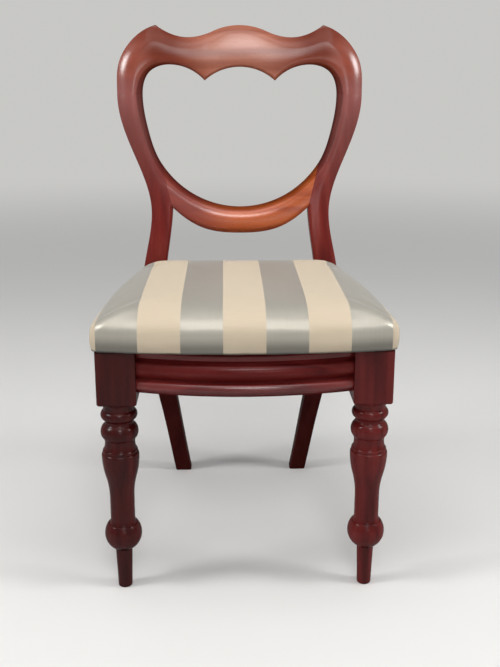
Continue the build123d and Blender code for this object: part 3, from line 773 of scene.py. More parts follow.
# Worked strips beside its edges: width, and softness round the opening or depth elsewhere.
BEVEL_CROWN, BEVEL_CROSS_TOP, BEVEL_JOINT = (7.0, 12.0), (9.0, 9.0), (12.0, 8.0)
BEVEL_SCALLOP, BEVEL_CUSP = (5.0, 5.0), (3.2, 1.6)
ROUND_LEG, ROUND_WAIST, ROUND_FORK = (3.0, 2.4), (6.0, 3.0), (6.0, 4.0)
ROUND_SHOULDER, ROUND_EAR = (40.0, 11.0), (24.0, 9.0)
ROUND_DIP, ROUND_BROW = (13.0, 7.0), (12.0, 7.0)

# Points that its edges are drawn through, from the floor up.
LEG_OUTER, LEG_INNER = ((131.5, 0), (159.5, 176), (182, 325)), ((101, 0), (125.6, 176), (140, 325))
LEG_LEAN = (0.16, 1)
HIP_INNER, BALLOON_OUTER = ((140, 405), (132, 480)), ((182, 405), (164, 546), (194, 640))
OPENING_SIDE, EAR_SIDE, BELLY_SIDE = (168, 682), (221, 800), (71, 510)

# Zones of painted shade and painted highlight on its polish: strength, then smooth steps
# in half-width x, height z and distance from the opening.
# Painted shade darkens the colour and thins the coat; painted highlight does the reverse.
PAINTED_SHADE_ZONES = (
    (0.16, (("x", 100, 130), ("x", 195, 165), ("z", 805, 825))),
    (0.12, (("x", 45, 90), ("z", 750, 775), ("x", 175, 150))),
)
PAINTED_HIGHLIGHT_ZONES = (
    (0.52, (("x", 150, 188), ("z", 680, 760), ("z", 852, 830))),
    (0.26, (("z", 825, 838), ("z", 862, 853), ("x", 125, 75))),
)
# Painted shade on the bevel round the opening, and along the opening's edge and walls.
BEVEL_PAINTED_SHADE, EDGE_PAINTED_SHADE = 0.55, 0.45
# Painted highlight just below the cross rail's ridge.
CROSS_RAIL_PAINTED_HIGHLIGHT = (0.45, (("opening", 3, 8), ("opening", 23, 14), ("x", 90, 45)))
CROSS_RAIL_LIMIT = 600


@dataclass(frozen=True)
class Edge:
    """An edge of the back in front view.

    Attributes:
        line: its points, on the right-hand side of the chair.
        traits: for each point the width of the worked strip beside it, and the strip's softness
            round the opening or its depth elsewhere.
    """

    line: np.ndarray
    traits: np.ndarray

    @classmethod
    def of(cls, *runs: tuple[np.ndarray, Point, Point]) -> Edge:
        """Join runs, each with its traits at its start and end."""
        traits = joined(*(straight(first, last, len(run)) for run, first, last in runs))
        return cls(joined(*(run for run, _, _ in runs)), traits)

    def nearest(self, spots: np.ndarray) -> tuple[np.ndarray, np.ndarray, np.ndarray]:
        """Distance of each spot, on either side, from the edge, and both traits there."""
        start, step = self.line[:-1], np.diff(self.line, axis=0)
        offset = np.abs(spots)[:, None, :] - start[None, :, :]
        share = (offset * step).sum(axis=2) / np.maximum((step * step).sum(axis=1), 1e-12)
        share = np.clip(share, 0, 1)
        gap = np.linalg.norm(offset - share[:, :, None] * step, axis=2)
        best = gap.argmin(axis=1)
        rows = np.arange(len(spots))
        part = share[rows, best][:, None]
        traits = self.traits[best] * (1 - part) + self.traits[best + 1] * part
        return gap[rows, best], traits[:, 0], traits[:, 1]


def soft_least(
    first: np.ndarray, second: np.ndarray, reach: float
) -> tuple[np.ndarray, np.ndarray]:
    """The lesser of two distances with a soft change-over, and the second one's share in it."""
    share = np.clip(0.5 + 0.5 * (first - second) / reach, 0, 1)
    return first + (second - first) * share - reach * share * (1 - share), share


@dataclass
class BackShape:
    """Outlines and surfaces of the balloon back, shared by its four members.

    Heights and half-widths are in millimetres in front view. Depths of the side view are measured
    behind the plane of the uprights' front faces at the seat.
    """

    places: Places
    square_bottom: float = 325.0
    square_top: float = 405.0
    mid_height: float = 600.0
    shin_height: float = 100.0
    foot_kick: float = 67.0
    shin_kick: float = 41.0
    mid_rake: float = 24.0
    crest_rake: float = 71.0
    foot_depth: float = 32.0
    shin_depth: float = 36.0
    seat_depth: float = 38.0
    waist_depth: float = 31.0
    crest_depth: float = 23.0
    foot_lean: float = 0.27
    crest_lean: float = 0.178
    fork: Point = (124.5, 546.5)
    cross_top: Point = (144.0, 622.0)
    cross_crown: float = 545.0
    cross_belly: float = 499.5
    joint_inner: float = 178.0
    joint_outer: float = 224.0
    ear_x: float = 152.5
    scallop: Point = (128.0, 800.0)
    scallop_turn: Point = (165.0, 787.0)
    cusp: Point = (64.0, 772.0)
    centre_scallop: float = 796.0
    dip: Point = (103.0, 848.3)
    brow: Point = (50.0, 858.0)
    ear_slope: float = 0.75
    turn: Point = (208.0, 828.0)
    rear_round: float = 4.5
    bevel_slope: float = 0.85
    flank_power: float = 2.0
    brow_power: float = 1.5
    ear_softness: float = 16.0
    swell: float = 8.0
    worked_swell: float = 2.5
    narrow_round: float = 4.0
    broad_round: float = 11.0
    plain_bevel: float = 3.0
    full_bevel: float = 9.0
    opening: Edge = field(init=False)
    plain_opening: Edge = field(init=False)
    flank: Edge = field(init=False)
    brow_edge: Edge = field(init=False)
    underside: Edge = field(init=False)
    front_view: np.ndarray = field(init=False)
    rear_view: np.ndarray = field(init=False)
    def __post_init__(self) -> None:
        """Draw the side view and the edges."""
        self.crest = self.places.crest_top / MM
        self.joint = self.places.joint_height / MM
        self._draw_side_view()
        self._draw_edges()

    def _draw_side_view(self) -> None:
        """Front and rear faces as runs of depth and height, from the floor up."""
        below, above = (self.foot_lean, -1), (self.crest_lean, 1)
        runs = []
        for feet, shin, seat, mid, top in (
            (self.foot_kick, self.shin_kick, 0.0, self.mid_rake, self.crest_rake),
            (self.foot_kick + self.foot_depth, self.shin_kick + self.shin_depth, self.seat_depth,
             self.mid_rake + self.waist_depth, self.crest_rake + self.crest_depth),
        ):
            low = [(seat, self.square_bottom), (shin, self.shin_height), (feet, 0)]
            high = [(seat, self.square_top), (mid, self.mid_height), (top, self.crest)]
            leg = clamped_spline(low, (0, -1), below, 60)
            back = clamped_spline(high, (0, 1), above, 90)
            runs.append(joined(leg[::-1], straight(leg[0], back[0], 8), back))
        self.front_view, self.rear_view = runs

    def _draw_edges(self) -> None:
        """The opening, the outline and the underside, on the right, from the bottom up."""
        cross_start = (0.0, self.cross_crown)
        arc = tangent_arc(cross_start, self.cross_top, (1, 0), 50)
        leaving = tuple(arc[-1] - arc[-2])
        side = clamped_spline(
            [self.cross_top, OPENING_SIDE, (self.joint_inner, self.joint)], leaving, (0, 1), 50
        )
        shoulder = clamped_spline(
            [(self.joint_inner, self.joint), self.scallop_turn, self.scallop], (0, 1), (-1, 0), 50
        )
        outer_scallop = tangent_arc(self.scallop, self.cusp, (-1, 0), 30)
        centre_scallop = tangent_arc((0, self.centre_scallop), self.cusp, (1, 0), 30)[::-1]
        self.cross_arc, self.side, self.shoulder = arc, side, shoulder
        self.outer_scallop, self.inner_scallop = outer_scallop, centre_scallop
        self.opening = Edge.of(
            (arc, BEVEL_CROWN, BEVEL_CROSS_TOP), (side, BEVEL_CROSS_TOP, BEVEL_JOINT),
            (shoulder, BEVEL_JOINT, BEVEL_SCALLOP), (outer_scallop, BEVEL_SCALLOP, BEVEL_CUSP),
            (centre_scallop, BEVEL_CUSP, BEVEL_CUSP),
        )
        chord = straight(self.scallop, (0.0, self.centre_scallop), 30)
        self.plain_opening = Edge.of(
            *((run, BEVEL_SCALLOP, BEVEL_SCALLOP) for run in (arc, side, shoulder, chord))
        )
        leg = clamped_spline(LEG_OUTER, LEG_LEAN, (0, 1), 60)
        balloon = clamped_spline(
            [*BALLOON_OUTER, (self.joint_outer, self.joint)], (0, 1), (0, 1), 90
        )
        ear = clamped_spline(
            [(self.joint_outer, self.joint), EAR_SIDE, self.turn, (self.ear_x, self.crest)],
            (0, 1), (-1, 0.25), 70,
        )
        crown = tangent_arc((0, self.crest), self.brow, (1, 0), 20)
        hollow = clamped_spline(
            [self.brow, self.dip, (self.ear_x, self.crest)], tuple(crown[-1] - crown[-2]),
            (1, self.ear_slope), 50
        )
        self.leg_outer, self.balloon_outer, self.ear = leg, balloon, ear
        self.hollow, self.crown = hollow[::-1], crown[::-1]
        hip_run = straight(leg[-1], balloon[0], 10)
        self.flank = Edge.of(
            (leg, ROUND_LEG, ROUND_LEG), (hip_run, ROUND_LEG, ROUND_WAIST),
            (balloon, ROUND_WAIST, ROUND_SHOULDER), (ear, ROUND_SHOULDER, ROUND_EAR),
        )
        self.brow_edge = Edge.of((self.hollow, ROUND_EAR, ROUND_DIP),
                                 (self.crown, ROUND_DIP, ROUND_BROW))
        calf = clamped_spline(LEG_INNER, LEG_LEAN, (0, 1), 60)
        hip = clamped_spline([*HIP_INNER, self.fork], (0, 1), (-0.05, 1), 40)
        belly = clamped_spline([self.fork, BELLY_SIDE, (0, self.cross_belly)],
                               (-1, -0.95), (-1, 0), 60)
        self.calf, self.hip, self.belly = calf, hip, belly
        self.underside = Edge.of(
            (calf, ROUND_LEG, ROUND_LEG), (straight(calf[-1], hip[0], 10), ROUND_LEG, ROUND_LEG),
            (hip, ROUND_LEG, ROUND_FORK), (belly, ROUND_FORK, ROUND_BROW),
        )

    def front_y(self, height: np.ndarray) -> np.ndarray:
        """Depth of the untouched front face at a height."""
        return np.interp(height, self.front_view[:, 1], self.front_view[:, 0])

    def rear_y(self, height: np.ndarray) -> np.ndarray:
        """Depth of the rear face at a height."""
        return np.interp(height, self.rear_view[:, 1], self.rear_view[:, 0])

    def relief(self, spots: np.ndarray) -> np.ndarray:
        """How far the worked front surface lies behind the untouched one.

        Args:
            spots: half-widths and heights in front view.

        Returns:
            Bevel round the opening, rounded outer arrises and the swelling between them, added up.
        """
        to_opening, bevel, softness = self.opening.nearest(spots)
        to_flank, flank_width, flank_depth = self.flank.nearest(spots)
        to_brow, brow_width, brow_depth = self.brow_edge.nearest(spots)
        to_under, under_width, under_depth = self.underside.nearest(spots)
        to_outer, share = soft_least(to_flank, to_brow, self.ear_softness)
        to_outer = np.maximum(to_outer, 0)
        outer_width = flank_width + (brow_width - flank_width) * share
        outer_depth = flank_depth + (brow_depth - flank_depth) * share
        gap = bevel - to_opening
        depth = self.bevel_slope * 0.5 * (gap + np.sqrt(gap * gap + softness * softness))
        power = self.flank_power + (self.brow_power - self.flank_power) * share
        depth = depth + outer_depth * np.clip(1 - to_outer / outer_width, 0, 1) ** power
        depth = depth + under_depth * np.clip(1 - to_under / under_width, 0, 1) ** self.flank_power
        reach, share = soft_least(to_outer, to_under, self.ear_softness)
        outer_swell, under_swell = (
            smoothstep(self.narrow_round, self.broad_round, width)
            for width in (outer_width, under_width)
        )
        to_plain = self.plain_opening.nearest(spots)[0]
        across = to_plain / (to_plain + np.maximum(reach, 1e-9))
        one_way, crowned = across**2, (2 * across - 1) ** 2
        worked = smoothstep(self.plain_bevel, self.full_bevel, bevel)
        crown = self.swell * one_way + (self.worked_swell * crowned - self.swell * one_way) * worked
        return depth + (outer_swell + (under_swell - outer_swell) * share) * crown

    def shade(self, places: np.ndarray) -> np.ndarray:
        """Painted shade on the polish at places in the room, below 0 where it is a painted highlight.

        Args:
            places: corners of a member, in metres.

        Returns:
            Most beside the opening and on the ears, least on the shoulders and the ridges.
        """
        spots = np.stack([places[:, 0], places[:, 2]], axis=1) / MM
        to_opening, bevel, _ = self.opening.nearest(spots)
        measures = {"x": np.abs(spots[:, 0]), "z": spots[:, 1], "opening": to_opening}

        def zone(strength: float, steps: tuple[tuple[str, float, float], ...]) -> np.ndarray:
            """A zone's strength at each place."""
            parts = [smoothstep(low, high, measures[name]) for name, low, high in steps]
            return strength * np.prod(parts, axis=0)

        # Painted shade over the bevel round the opening and on the opening's edge and walls.
        strip = smoothstep(0.5, -3.0, to_opening - bevel) * smoothstep(4, 9, bevel)
        painted_dark = BEVEL_PAINTED_SHADE * strip + EDGE_PAINTED_SHADE * smoothstep(4.5, 1.2, to_opening)
        # Painted highlights on the shoulders, below the crest's top and on the cross rail; painted shade
        # on the ears and beside the crest's middle.
        bright = sum(zone(*part) for part in PAINTED_HIGHLIGHT_ZONES)
        bright = bright + zone(*CROSS_RAIL_PAINTED_HIGHLIGHT) * (measures["z"] < CROSS_RAIL_LIMIT)
        darker = sum(zone(*part) for part in PAINTED_SHADE_ZONES)
        return painted_dark + darker - bright * (1 - np.clip(2 * painted_dark, 0, 1))

    def rings(self, inner: np.ndarray, outer: np.ndarray) -> np.ndarray:
        """Closed sections between pairs of points on the inner and outer edge.

        Args:
            inner: points on the edge towards the opening or between the legs.
            outer: as many points on the other edge.

        Returns:
            Array of rings in metres.
        """
        shares = self._shares()
        count = len(shares)
        spots = inner[:, None, :] + shares[None, :, None] * (outer - inner)[:, None, :]
        depth = self.relief(spots.reshape(-1, 2)).reshape(len(inner), count)
        front = self.front_y(spots[:, :, 1]) + depth
        rear_shares, rear_rise = self._rear(np.linalg.norm(outer - inner, axis=1))
        rear_spots = inner[:, None, :] + rear_shares[:, :, None] * (outer - inner)[:, None, :]
        rear = self.rear_y(rear_spots[:, :, 1]) - rear_rise
        sides = np.linspace(0, 1, 6)[1:-1]
        outer_side = front[:, -1:] + sides * (rear[:, :1] - front[:, -1:])
        inner_side = rear[:, -1:] + sides * (front[:, :1] - rear[:, -1:])
        xz = np.concatenate(
            [spots, np.repeat(outer[:, None, :], len(sides), axis=1), rear_spots,
             np.repeat(inner[:, None, :], len(sides), axis=1)], axis=1,
        )
        y = np.concatenate([front, outer_side, rear, inner_side], axis=1)
        y = y * MM + self.places.upright_front
        return np.stack([xz[:, :, 0] * MM, y, xz[:, :, 1] * MM], axis=2)

    @staticmethod
    def _shares() -> np.ndarray:
        """Shares of the width at which the front surface has points, closest near both edges."""
        inner = np.linspace(0, 0.34, 19)[:-1]
        middle = np.linspace(0.34, 0.76, 9)[:-1]
        outer = 0.76 + 0.24 * np.sin(np.linspace(0, math.pi / 2, 12))
        return np.concatenate([inner, middle, outer])

    def _rear(self, widths: np.ndarray) -> tuple[np.ndarray, np.ndarray]:
        """Shares of the width and rises of the rear surface, from the outer to the inner edge."""
        turns = np.linspace(0, math.pi / 2, 5)
        inset = self.rear_round * (1 - np.cos(turns))
        rise = self.rear_round * (1 - np.sin(turns))
        rows = []
        for width in widths:
            outer = 1 - inset / width
            rows.append(np.concatenate([outer, np.linspace(outer[-1], inset[-1] / width, 8)[1:-1],
                                        (inset / width)[::-1]]))
        rises = np.concatenate([rise, np.zeros(6), rise[::-1]])
        return np.array(rows), np.tile(rises, (len(widths), 1))


@dataclass
class BalloonBack:
    """The four members of the back: crest rail, cross rail and the two uprights."""

    shape: BackShape
    section_split: float = 0.68
    scallop_split: float = 0.42
    # The crest and cross rail are lighter and more orange than the uprights: partly the wood's own tone,
    # partly painted light from above.
    crest_finish: PolishedMahogany = PolishedMahogany(
        "mahogany_crest", (0.175, 0.044, 0.024), (0.280, 0.086, 0.048), (0.365, 0.126, 0.074),
        Grain.ACROSS, 3.1, 0.36, polish=0.6, ends=(0.150, 0.026, 0.012),
        joint=(0.155, 0.040, 0.034),
    )
    cross_finish: PolishedMahogany = PolishedMahogany(
        "mahogany_cross_rail", (0.190, 0.026, 0.007), (0.340, 0.066, 0.016), (0.440, 0.110, 0.030),
        Grain.ACROSS, 7.7, 0.34, polish=0.6, ends=(0.190, 0.034, 0.024),
    )

    def build(self) -> None:
        """Make and dress all four members."""
        for side, sign, seed in (("right", 1, 1.3), ("left", -1, 5.9)):
            name = f"{side}_back_upright"
            finish = PolishedMahogany(
                f"mahogany_{name}", (0.065, 0.004, 0.003), (0.135, 0.011, 0.008),
                (0.195, 0.028, 0.021), Grain.UPRIGHT, seed, 0.34, painted_shadow_from=0.50, painted_shadow_to=0.28,
                painted_shadow=0.72, polish=0.42, ends=(0.165, 0.046, 0.040),
            )
            # The uprights turn lighter and greyer towards the crest joint: partly the wood's tone, partly
            # a painted sheen.
            self._member(name, self._upright_edges(), finish,
                         lambda x, z: {"end_tone": smoothstep(520, 720, z)}, sign)
        # The crest darkens from close to its middle towards the ears: partly the wood's tone, partly
        # painted shade beside its highlight.
        self._member("crest_rail", self._crest_edges(), self.crest_finish, lambda x, z: {
            "end_tone": smoothstep(35, 130, abs(x)),
            "joint_tone": smoothstep(800, 752, z) * (abs(x) > 150),
        })
        self._member("cross_rail", self._cross_edges(), self.cross_finish,
                     lambda x, z: {"end_tone": smoothstep(10, -110, x)})

    def _member(
        self, node: str, edges: tuple[np.ndarray, np.ndarray], finish: PolishedMahogany,
        tones: Callable[[np.ndarray, np.ndarray], dict[str, np.ndarray]], sign: int = 1,
    ) -> None:
        """Make and dress one member.

        Args:
            node: node that it replaces.
            edges: its inner and outer points, on the right-hand side or from right to left.
            finish: its finish.
            tones: gives the shares of the finish's end and joint tones from x and z in millimetres.
            sign: -1 turns it over to the left-hand side.
        """
        rings = self.shape.rings(*edges)
        rings[:, :, 0] *= sign
        piece = loft(f"{node}_wood", rings)
        places = corners(piece)
        store(piece, shade=self.shape.shade(places), **tones(places[:, 0] / MM, places[:, 2] / MM))
        dress(piece, finish, node)

    def _upright_edges(self) -> tuple[np.ndarray, np.ndarray]:
        """Inner and outer points of level sections from the foot to the crest joint."""
        shape = self.shape
        inner = joined(shape.calf, straight(shape.calf[-1], shape.hip[0], 10), shape.hip,
                       straight(shape.fork, shape.cross_top, 20), shape.side)
        outer = joined(shape.leg_outer, straight(shape.leg_outer[-1], shape.balloon_outer[0], 10),
                       shape.balloon_outer)
        keys = [0.0, shape.square_bottom, shape.square_top, shape.fork[1], shape.cross_top[1],
                shape.joint]
        counts = [30, 6, 24, 24, 36]
        levels = joined(*(
            np.linspace((0, low), (0, high), count + 1)
            for low, high, count in zip(keys, keys[1:], counts)
        ))[:, 1]
        return tuple(
            np.stack([np.interp(levels, run[:, 1], run[:, 0]), levels], axis=1)
            for run in (inner, outer)
        )

    def _crest_edges(self) -> tuple[np.ndarray, np.ndarray]:
        """Inner and outer points of sections that fan round the crest, from right to left."""
        pairs = self._crest_pairs()
        return both_sides(*(
            joined(*(resampled(pair[edge], np.linspace(0, 1, pair[2] + 1)) for pair in pairs))
            for edge in (0, 1)
        ))

    def _crest_pairs(self) -> list[tuple[np.ndarray, np.ndarray, int]]:
        """Stretches of the crest's edges that face each other, and their numbers of sections."""
        shape = self.shape
        turn_share = self._share_at(shape.shoulder, shape.scallop_turn)
        ear_share = self._share_at(shape.ear, shape.turn)
        low, high = self._cut(shape.shoulder, turn_share)
        ear_low, ear_high = self._cut(shape.ear, ear_share)
        first, second = self._cut(high, self.section_split)
        scallop_first, scallop_rest = self._cut(shape.outer_scallop, self.scallop_split)
        hollow_share = self._share_at(shape.hollow, shape.dip)
        hollow_first, hollow_rest = self._cut(shape.hollow, hollow_share)
        brow_share = self._share_at(hollow_rest, (shape.cusp[0], 0.0), along_x=True)
        brow_first, brow_last = self._cut(hollow_rest, brow_share)
        return [
            (low, ear_low, 18),
            (first, ear_high, 26),
            (joined(second, scallop_first), hollow_first, 22),
            (scallop_rest, brow_first, 22),
            (shape.inner_scallop, joined(brow_last, shape.crown), 26),
        ]

    @staticmethod
    def _share_at(run: np.ndarray, spot: Point, along_x: bool = False) -> float:
        """Share of a run's length at which it passes a spot, or the spot's half-width alone."""
        gap = abs(run[:, 0] - spot[0]) if along_x else np.linalg.norm(run - np.array(spot), axis=1)
        return float(shares_along(run)[gap.argmin()])

    @staticmethod
    def _cut(run: np.ndarray, share: float) -> tuple[np.ndarray, np.ndarray]:
        """The two parts of a run on either side of a share of its length."""
        return resampled(run, np.linspace(0, share, 40)), resampled(run, np.linspace(share, 1, 40))

    def _cross_edges(self) -> tuple[np.ndarray, np.ndarray]:
        """Inner and outer points of sections along the cross rail, from right to left."""
        shares = np.linspace(0, 1, 46)
        return both_sides(resampled(self.shape.cross_arc[::-1], shares),
                          resampled(self.shape.belly, shares))


# Front legs and front rail


@dataclass
class TurnedLeg:
    """A front leg: turned from the floor to its block, which takes the rails.

    Each turned member is an arc through a radius half-way up it. Lengths and radii in millimetres.
    """

    places: Places
    block_width: float = 59.5
    block_depth: float = 57.0
    block_bottom: float = 313.0
    block_edge: float = 2.0
    block_round: float = 4.5
    # Painted shadow under the seat across the block's top: the rings where it starts and ends, how dark it
    # is, and the band below the top where it fades in.
    top_shadow_rings: Point = (4.0, 3.0)
    top_painted_shadow: float = 1.2
    top_shadow_band: Point = (3.4, 2.4)
    tones: tuple[Colour, ...] = (
        (0.020, 0.002, 0.002), (0.060, 0.0055, 0.0050), (0.100, 0.013, 0.012),
    )
    # Painted light: copies of one finish, lighter on the right leg and darker on the left.
    left_shaded_strength: float = 0.75
    right_lit_strength: float = 1.45
    segments: int = 96

    def half_section(self) -> np.ndarray:
        """Radii and heights of the turned part, from the middle of the foot up."""
        return chained(
            (0, 0),
            (straight, (8.5, 0), 3),
            (tangent_arc, (11.0, 2.5), (1, 0), 7),
            (straight, (13.2, 67), 12),
            (arc_through, (29, 93), (24, 110), 34),
            (tangent_arc, (22.6, 111.2), (-0.5, 1), 5),
            (straight, (21.5, 110.9), 3),
            (landing_arc, (19, 121), (0, -1), 9),
            (straight, (19, 155), 8),
            (tangent_arc, (23.9, 191), (0, 1), 14),
            (landing_arc, (28.8, 227), (0, -1), 14),
            (tangent_arc, (26.9, 230.9), (0, 1), 7),
            (arc_through, (26.3, 231.4), (26.7, 232.2), 5),
            (tangent_arc, (25.9, 236.3), (0.35, 1), 7),
            (straight, (25.2, 236.2), 2),
            (arc_through, (23.2, 244.5), (23.9, 253), 10),
            (arc_through, (28.9, 265), (23.9, 277), 20),
            (arc_through, (21.9, 281), (23.9, 285), 9),
            (arc_through, (28.0, 292.75), (23.9, 300.5), 16),
            (arc_through, (24.1, 307), (27.0, 312.5), 10),
            (straight, (27.0, 316.0), 2),
            (straight, (0, 316.0), 2),
        )

    def build(self, side: str, seed: float) -> bpy.types.Object:
        """Make and dress the leg on one side."""
        name = f"{side}_front_leg"
        piece = combined(self._turning(name), self._block(f"{name}_block"), "UNION")
        piece.name = f"{name}_wood"
        places = corners(piece)
        places[:, 0] *= 1 if side == "right" else -1
        set_corners(piece, places)
        tidy_mesh(piece, LEG_SMOOTH_ANGLE)
        # Painted shadow under the seat across the top of the block.
        below = (self.places.rail_top - corners(piece)[:, 2]) / MM
        store(piece, shade=self.top_painted_shadow * smoothstep(*self.top_shadow_band, below))
        # Painted light: the right leg's colours are lighter and the left one's darker.
        strength = self.right_lit_strength if side == "right" else self.left_shaded_strength
        finish = PolishedMahogany(
            f"mahogany_{name}", *(tuple(strength * part for part in tone) for tone in self.tones),
            Grain.UPRIGHT, seed, 0.27, polish=0.32,
        )
        return dress(piece, finish, name)

    def _centre(self) -> Point:
        """Place of the leg's axis on the right-hand side."""
        return (
            self.places.block_outer - self.block_width * MM / 2,
            self.places.block_front + self.block_depth * MM / 2,
        )

    def _turning(self, name: str) -> bpy.types.Object:
        """The turned part as a closed lathe form."""
        section = self.half_section() * MM
        centre = self._centre()
        angles = np.linspace(0, 2 * math.pi, self.segments, endpoint=False)
        rings = [
            np.stack([centre[0] + radius * np.cos(angles), centre[1] + radius * np.sin(angles),
                      np.full(self.segments, height)], axis=1)
            for radius, height in section[1:-1]
        ]
        return loft(name, np.stack(rings))

    def _block(self, name: str) -> bpy.types.Object:
        """The square block, with its arrises eased and its lower end rounded."""
        centre = np.array(self._centre()) / MM
        half = np.array((self.block_width, self.block_depth)) / 2
        top, edge, end = self.places.rail_top / MM, self.block_edge, self.block_round
        levels = [
            (end * (1 - math.sin(turn)), self.block_bottom + end * (1 - math.cos(turn)))
            for turn in np.linspace(0, math.pi / 2, 8)
        ]
        levels += [(0.0, top - shaded) for shaded in self.top_shadow_rings]
        levels += [(0.0, top - edge), (edge * 0.3, top - edge * 0.3), (edge, top)]
        bearings = np.concatenate([quarter * math.pi / 2 + np.linspace(0, math.pi / 2, 6)
                                   for quarter in range(4)])
        spokes = np.stack([np.cos(bearings), np.sin(bearings)], axis=1)
        signs = np.repeat([(1, 1), (-1, 1), (-1, -1), (1, -1)], 6, axis=0)
        rings = [at_height(centre + signs * (half - inset - edge) + edge * spokes, height)
                 for inset, height in levels]
        return loft(name, np.array(rings) * MM)


@dataclass
class FrontRail:
    """The bowed front rail with its torus, sinking and bead. Sizes in millimetres."""

    places: Places
    apex: float = 14.0
    bow: float = 24.0
    back: float = 36.0
    fillet: float = 13.0
    hollow: float = 6.5
    torus: float = 24.5
    sinking: float = 3.5
    bead: float = 18.0
    hollow_depth: float = 2.5
    torus_swell: float = 5.5
    bead_swell: float = 7.5
    sunk: float = 2.0
    ease: float = 0.8
    sections: int = 90
    # Painted shade by depth below the rail's top: a painted shadow under the seat, darker hollow and torus
    # foot, and a painted highlight on the bead where it is below 0.
    painted_shading: tuple[Point, ...] = (
        (0, 1.3), (3.2, 1.3), (4.2, 0.2), (12.5, 0.25), (14, 0.6), (19, 0.6), (21.5, 0.40),
        (32, 0.43), (42, 0.6), (47, 0.7), (48.5, -0.1), (57, 0.0), (62, 0.3), (66, 0.5),
    )

    def profile(self) -> np.ndarray:
        """Swell and height of the moulding from its top edge down."""
        top = self.places.rail_top / MM
        bottom = self.places.rail_bottom / MM
        hollow_top = top - self.fillet
        torus_top = hollow_top - self.hollow
        torus_foot = torus_top - self.torus
        bead_top = torus_foot - self.sinking
        bead_foot = bead_top - self.bead
        ease, face = self.ease, -self.sunk
        return chained(
            (-ease, top),
            (tangent_arc, (0, top - ease), (1, 0), 5),
            (straight, (0, hollow_top + ease), 3),
            (tangent_arc, (-ease, hollow_top), (0, -1), 4),
            (arc_through, (-self.hollow_depth, (hollow_top + torus_top) / 2), (0, torus_top), 10),
            (arc_through, (self.torus_swell, (torus_top + torus_foot) / 2), (face, torus_foot),
             26),
            (straight, (face, bead_top), 3),
            (arc_through, (self.bead_swell + face, (bead_top + bead_foot) / 2), (face, bead_foot),
             22),
            (straight, (face, bottom + ease), 3),
            (tangent_arc, (face - ease, bottom), (0, -1), 4),
        )

    def build(self) -> bpy.types.Object:
        """Make and dress the rail."""
        profile = self.profile()
        half = self.places.block_inner / MM
        radius = (half**2 + self.bow**2) / (2 * self.bow)
        front = self.places.block_front / MM
        centre, rear = front - self.apex + radius, front + self.back
        rings = []
        for x in np.linspace(-half, half, self.sections):
            y = centre - np.sqrt((radius + profile[:, 0]) ** 2 - x * x)
            face = np.stack([np.full(len(y), x), y, profile[:, 1]], axis=1)
            back = [(x, rear, profile[-1, 1]), (x, rear, profile[0, 1])]
            rings.append(np.concatenate([face, back]))
        piece = loft("front_rail_wood", np.array(rings) * MM)
        # Painted shade and painted highlight along the moulding, by depth below the top.
        below = (self.places.rail_top - corners(piece)[:, 2]) / MM
        store(piece, shade=np.interp(below, *zip(*self.painted_shading)))
        finish = PolishedMahogany(
            "mahogany_front_rail", (0.048, 0.003, 0.003), (0.125, 0.012, 0.011),
            (0.185, 0.028, 0.024), Grain.ACROSS, 2.2, 0.27, polish=1.0,
        )
        return dress(piece, finish, "front_rail")


class HiddenTimber:
    """Rails, blocks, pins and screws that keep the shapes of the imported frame."""

    TONES = ((0.030, 0.006, 0.005), (0.085, 0.016, 0.014), (0.135, 0.032, 0.027))
    FINISHES = (
        (PolishedMahogany("mahogany_side_rail", *TONES, Grain.DEPTH, 4.4, 0.34),
         ("left_side_rail", "right_side_rail")),
        (PolishedMahogany("mahogany_back_rail", *TONES, Grain.ACROSS, 6.2, 0.36), ("back_rail",)),
        (BareBeech("beech_across"),
         ("front_left_corner_block", "front_right_corner_block", "back_left_corner_block",
          "back_right_corner_block", "seat_frame_front", "seat_frame_back")),
        (BareBeech("beech_deep", Grain.DEPTH),
         ("seat_frame_left", "seat_frame_right", "seat_frame_dowels", "seat_pegs", "crest_dowels",
          "cross_rail_dowels", "seat_rail_dowels")),
        (ScrewSteel(), ("corner_block_screws",)),
    )

    def build(self) -> None:
        """Give each kept node its finish."""
        for finish, nodes in self.FINISHES:
            material = finish.make()
            for name in nodes:
                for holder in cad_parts[name].material_slots:
                    holder.material = material
                LOG.info("%s: kept, finish %s", name, material.name)


# The seat


